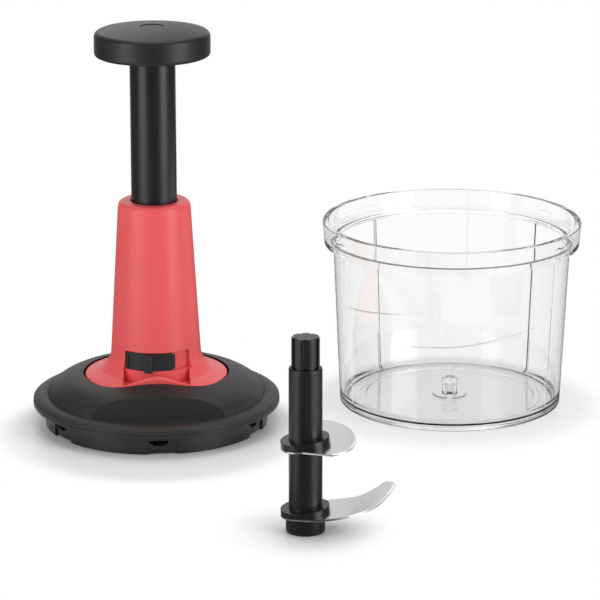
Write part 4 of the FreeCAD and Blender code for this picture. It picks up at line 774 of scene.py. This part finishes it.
class CHOPPER_OT_finishes(bpy.types.Operator):
    """Finish the pieces of the drive unit and the spindle"""
    bl_idname = "chopper.finishes"
    bl_label = "Finishes"

    def execute(self, context):
        look = context.scene.chopper_finish
        finish(moulded_plastic("red_plastic", look.red, roughness=0.36, grain=SATIN_GRAIN), "tower_shell")
        finish(moulded_plastic("satin_lid", look.lid_black, roughness=0.42, grain=SATIN_GRAIN, specular=0.28),
               "lid_dome")
        finish(moulded_plastic("satin_skirt", look.skirt_black, roughness=0.30, grain=SATIN_GRAIN),
               "lid_base")
        finish(moulded_plastic("matt_knob", look.knob_black, roughness=0.42, grain=MATT_GRAIN),
               "press_knob", "knob_base", "knob_cap")
        finish(moulded_plastic("satin_black", look.black, roughness=0.30, grain=FINE_GRAIN),
               "plunger_tube", "upper_sleeve", "middle_sleeve", "spindle_foot")
        finish(moulded_plastic("fluted_black", look.black, roughness=0.30, grain=FINE_GRAIN, edge=FLUTE_EDGE),
               "spindle_core")
        # Painted light: the slider gets a lighter copy of the black plastic, for the light that it catches.
        finish(moulded_plastic("slider_black_painted_lighter", shade(look.black, SLIDER_PAINTED_LIGHT), roughness=0.26,
                               grain=FINE_GRAIN, edge=SLIDER_EDGE), "lock_slider")
        finish(moulded_plastic("acetal", look.acetal, roughness=0.45, grain=MATT_GRAIN),
               "guide_bush", "lock_ring", "stop_collar", "drive_nut", "clutch_cover", "output_socket")
        finish(brushed_steel("blade_steel", look.steel, roughness=0.20, brushing=BLADE_BRUSHING),
               "lower_blade", "upper_blade")
        finish(brushed_steel("drawn_steel", look.steel, roughness=0.30, brushing=WIRE_BRUSHING),
               "drive_screw", "thrust_washer", "tower_screws", "cover_screws", "knob_screw")
        finish(brushed_steel("turned_brass", look.brass, roughness=0.25, brushing=BUSH_BRUSHING),
               "pivot_bush")
        return {"FINISHED"}


class CHOPPER_PT_panel(bpy.types.Panel):
    """Sizes, colours and steps of the chopper"""
    bl_label = "Plunger food chopper"
    bl_idname = "CHOPPER_PT_panel"
    bl_space_type = "VIEW_3D"
    bl_region_type = "UI"
    bl_category = "Chopper"

    def draw(self, context):
        for group in (context.scene.chopper_finish, context.scene.chopper_bowl, context.scene.chopper_stage):
            box = self.layout.box()
            for name in group.__annotations__:
                box.prop(group, name)
        for operator in OPERATORS:
            self.layout.operator(operator.bl_idname)


OPERATORS = (CHOPPER_OT_finishes, CHOPPER_OT_spring, CHOPPER_OT_bowl, CHOPPER_OT_stage)
CLASSES = (CHOPPER_PG_finish, CHOPPER_PG_bowl, CHOPPER_PG_stage) + OPERATORS + (CHOPPER_PT_panel,)


def register():
    """Make the settings, operators and panel known."""
    for item in CLASSES:
        bpy.utils.register_class(item)
    bpy.types.Scene.chopper_finish = bpy.props.PointerProperty(type=CHOPPER_PG_finish)
    bpy.types.Scene.chopper_bowl = bpy.props.PointerProperty(type=CHOPPER_PG_bowl)
    bpy.types.Scene.chopper_stage = bpy.props.PointerProperty(type=CHOPPER_PG_stage)


def unregister():
    """Take them away again."""
    del bpy.types.Scene.chopper_stage
    del bpy.types.Scene.chopper_bowl
    del bpy.types.Scene.chopper_finish
    for item in reversed(CLASSES):
        bpy.utils.unregister_class(item)


def main():
    """Make everything."""
    register()
    bpy.ops.chopper.finishes()
    bpy.ops.chopper.spring()
    bpy.ops.chopper.bowl()
    bpy.ops.chopper.stage()


if __name__ == "__main__":
    main()
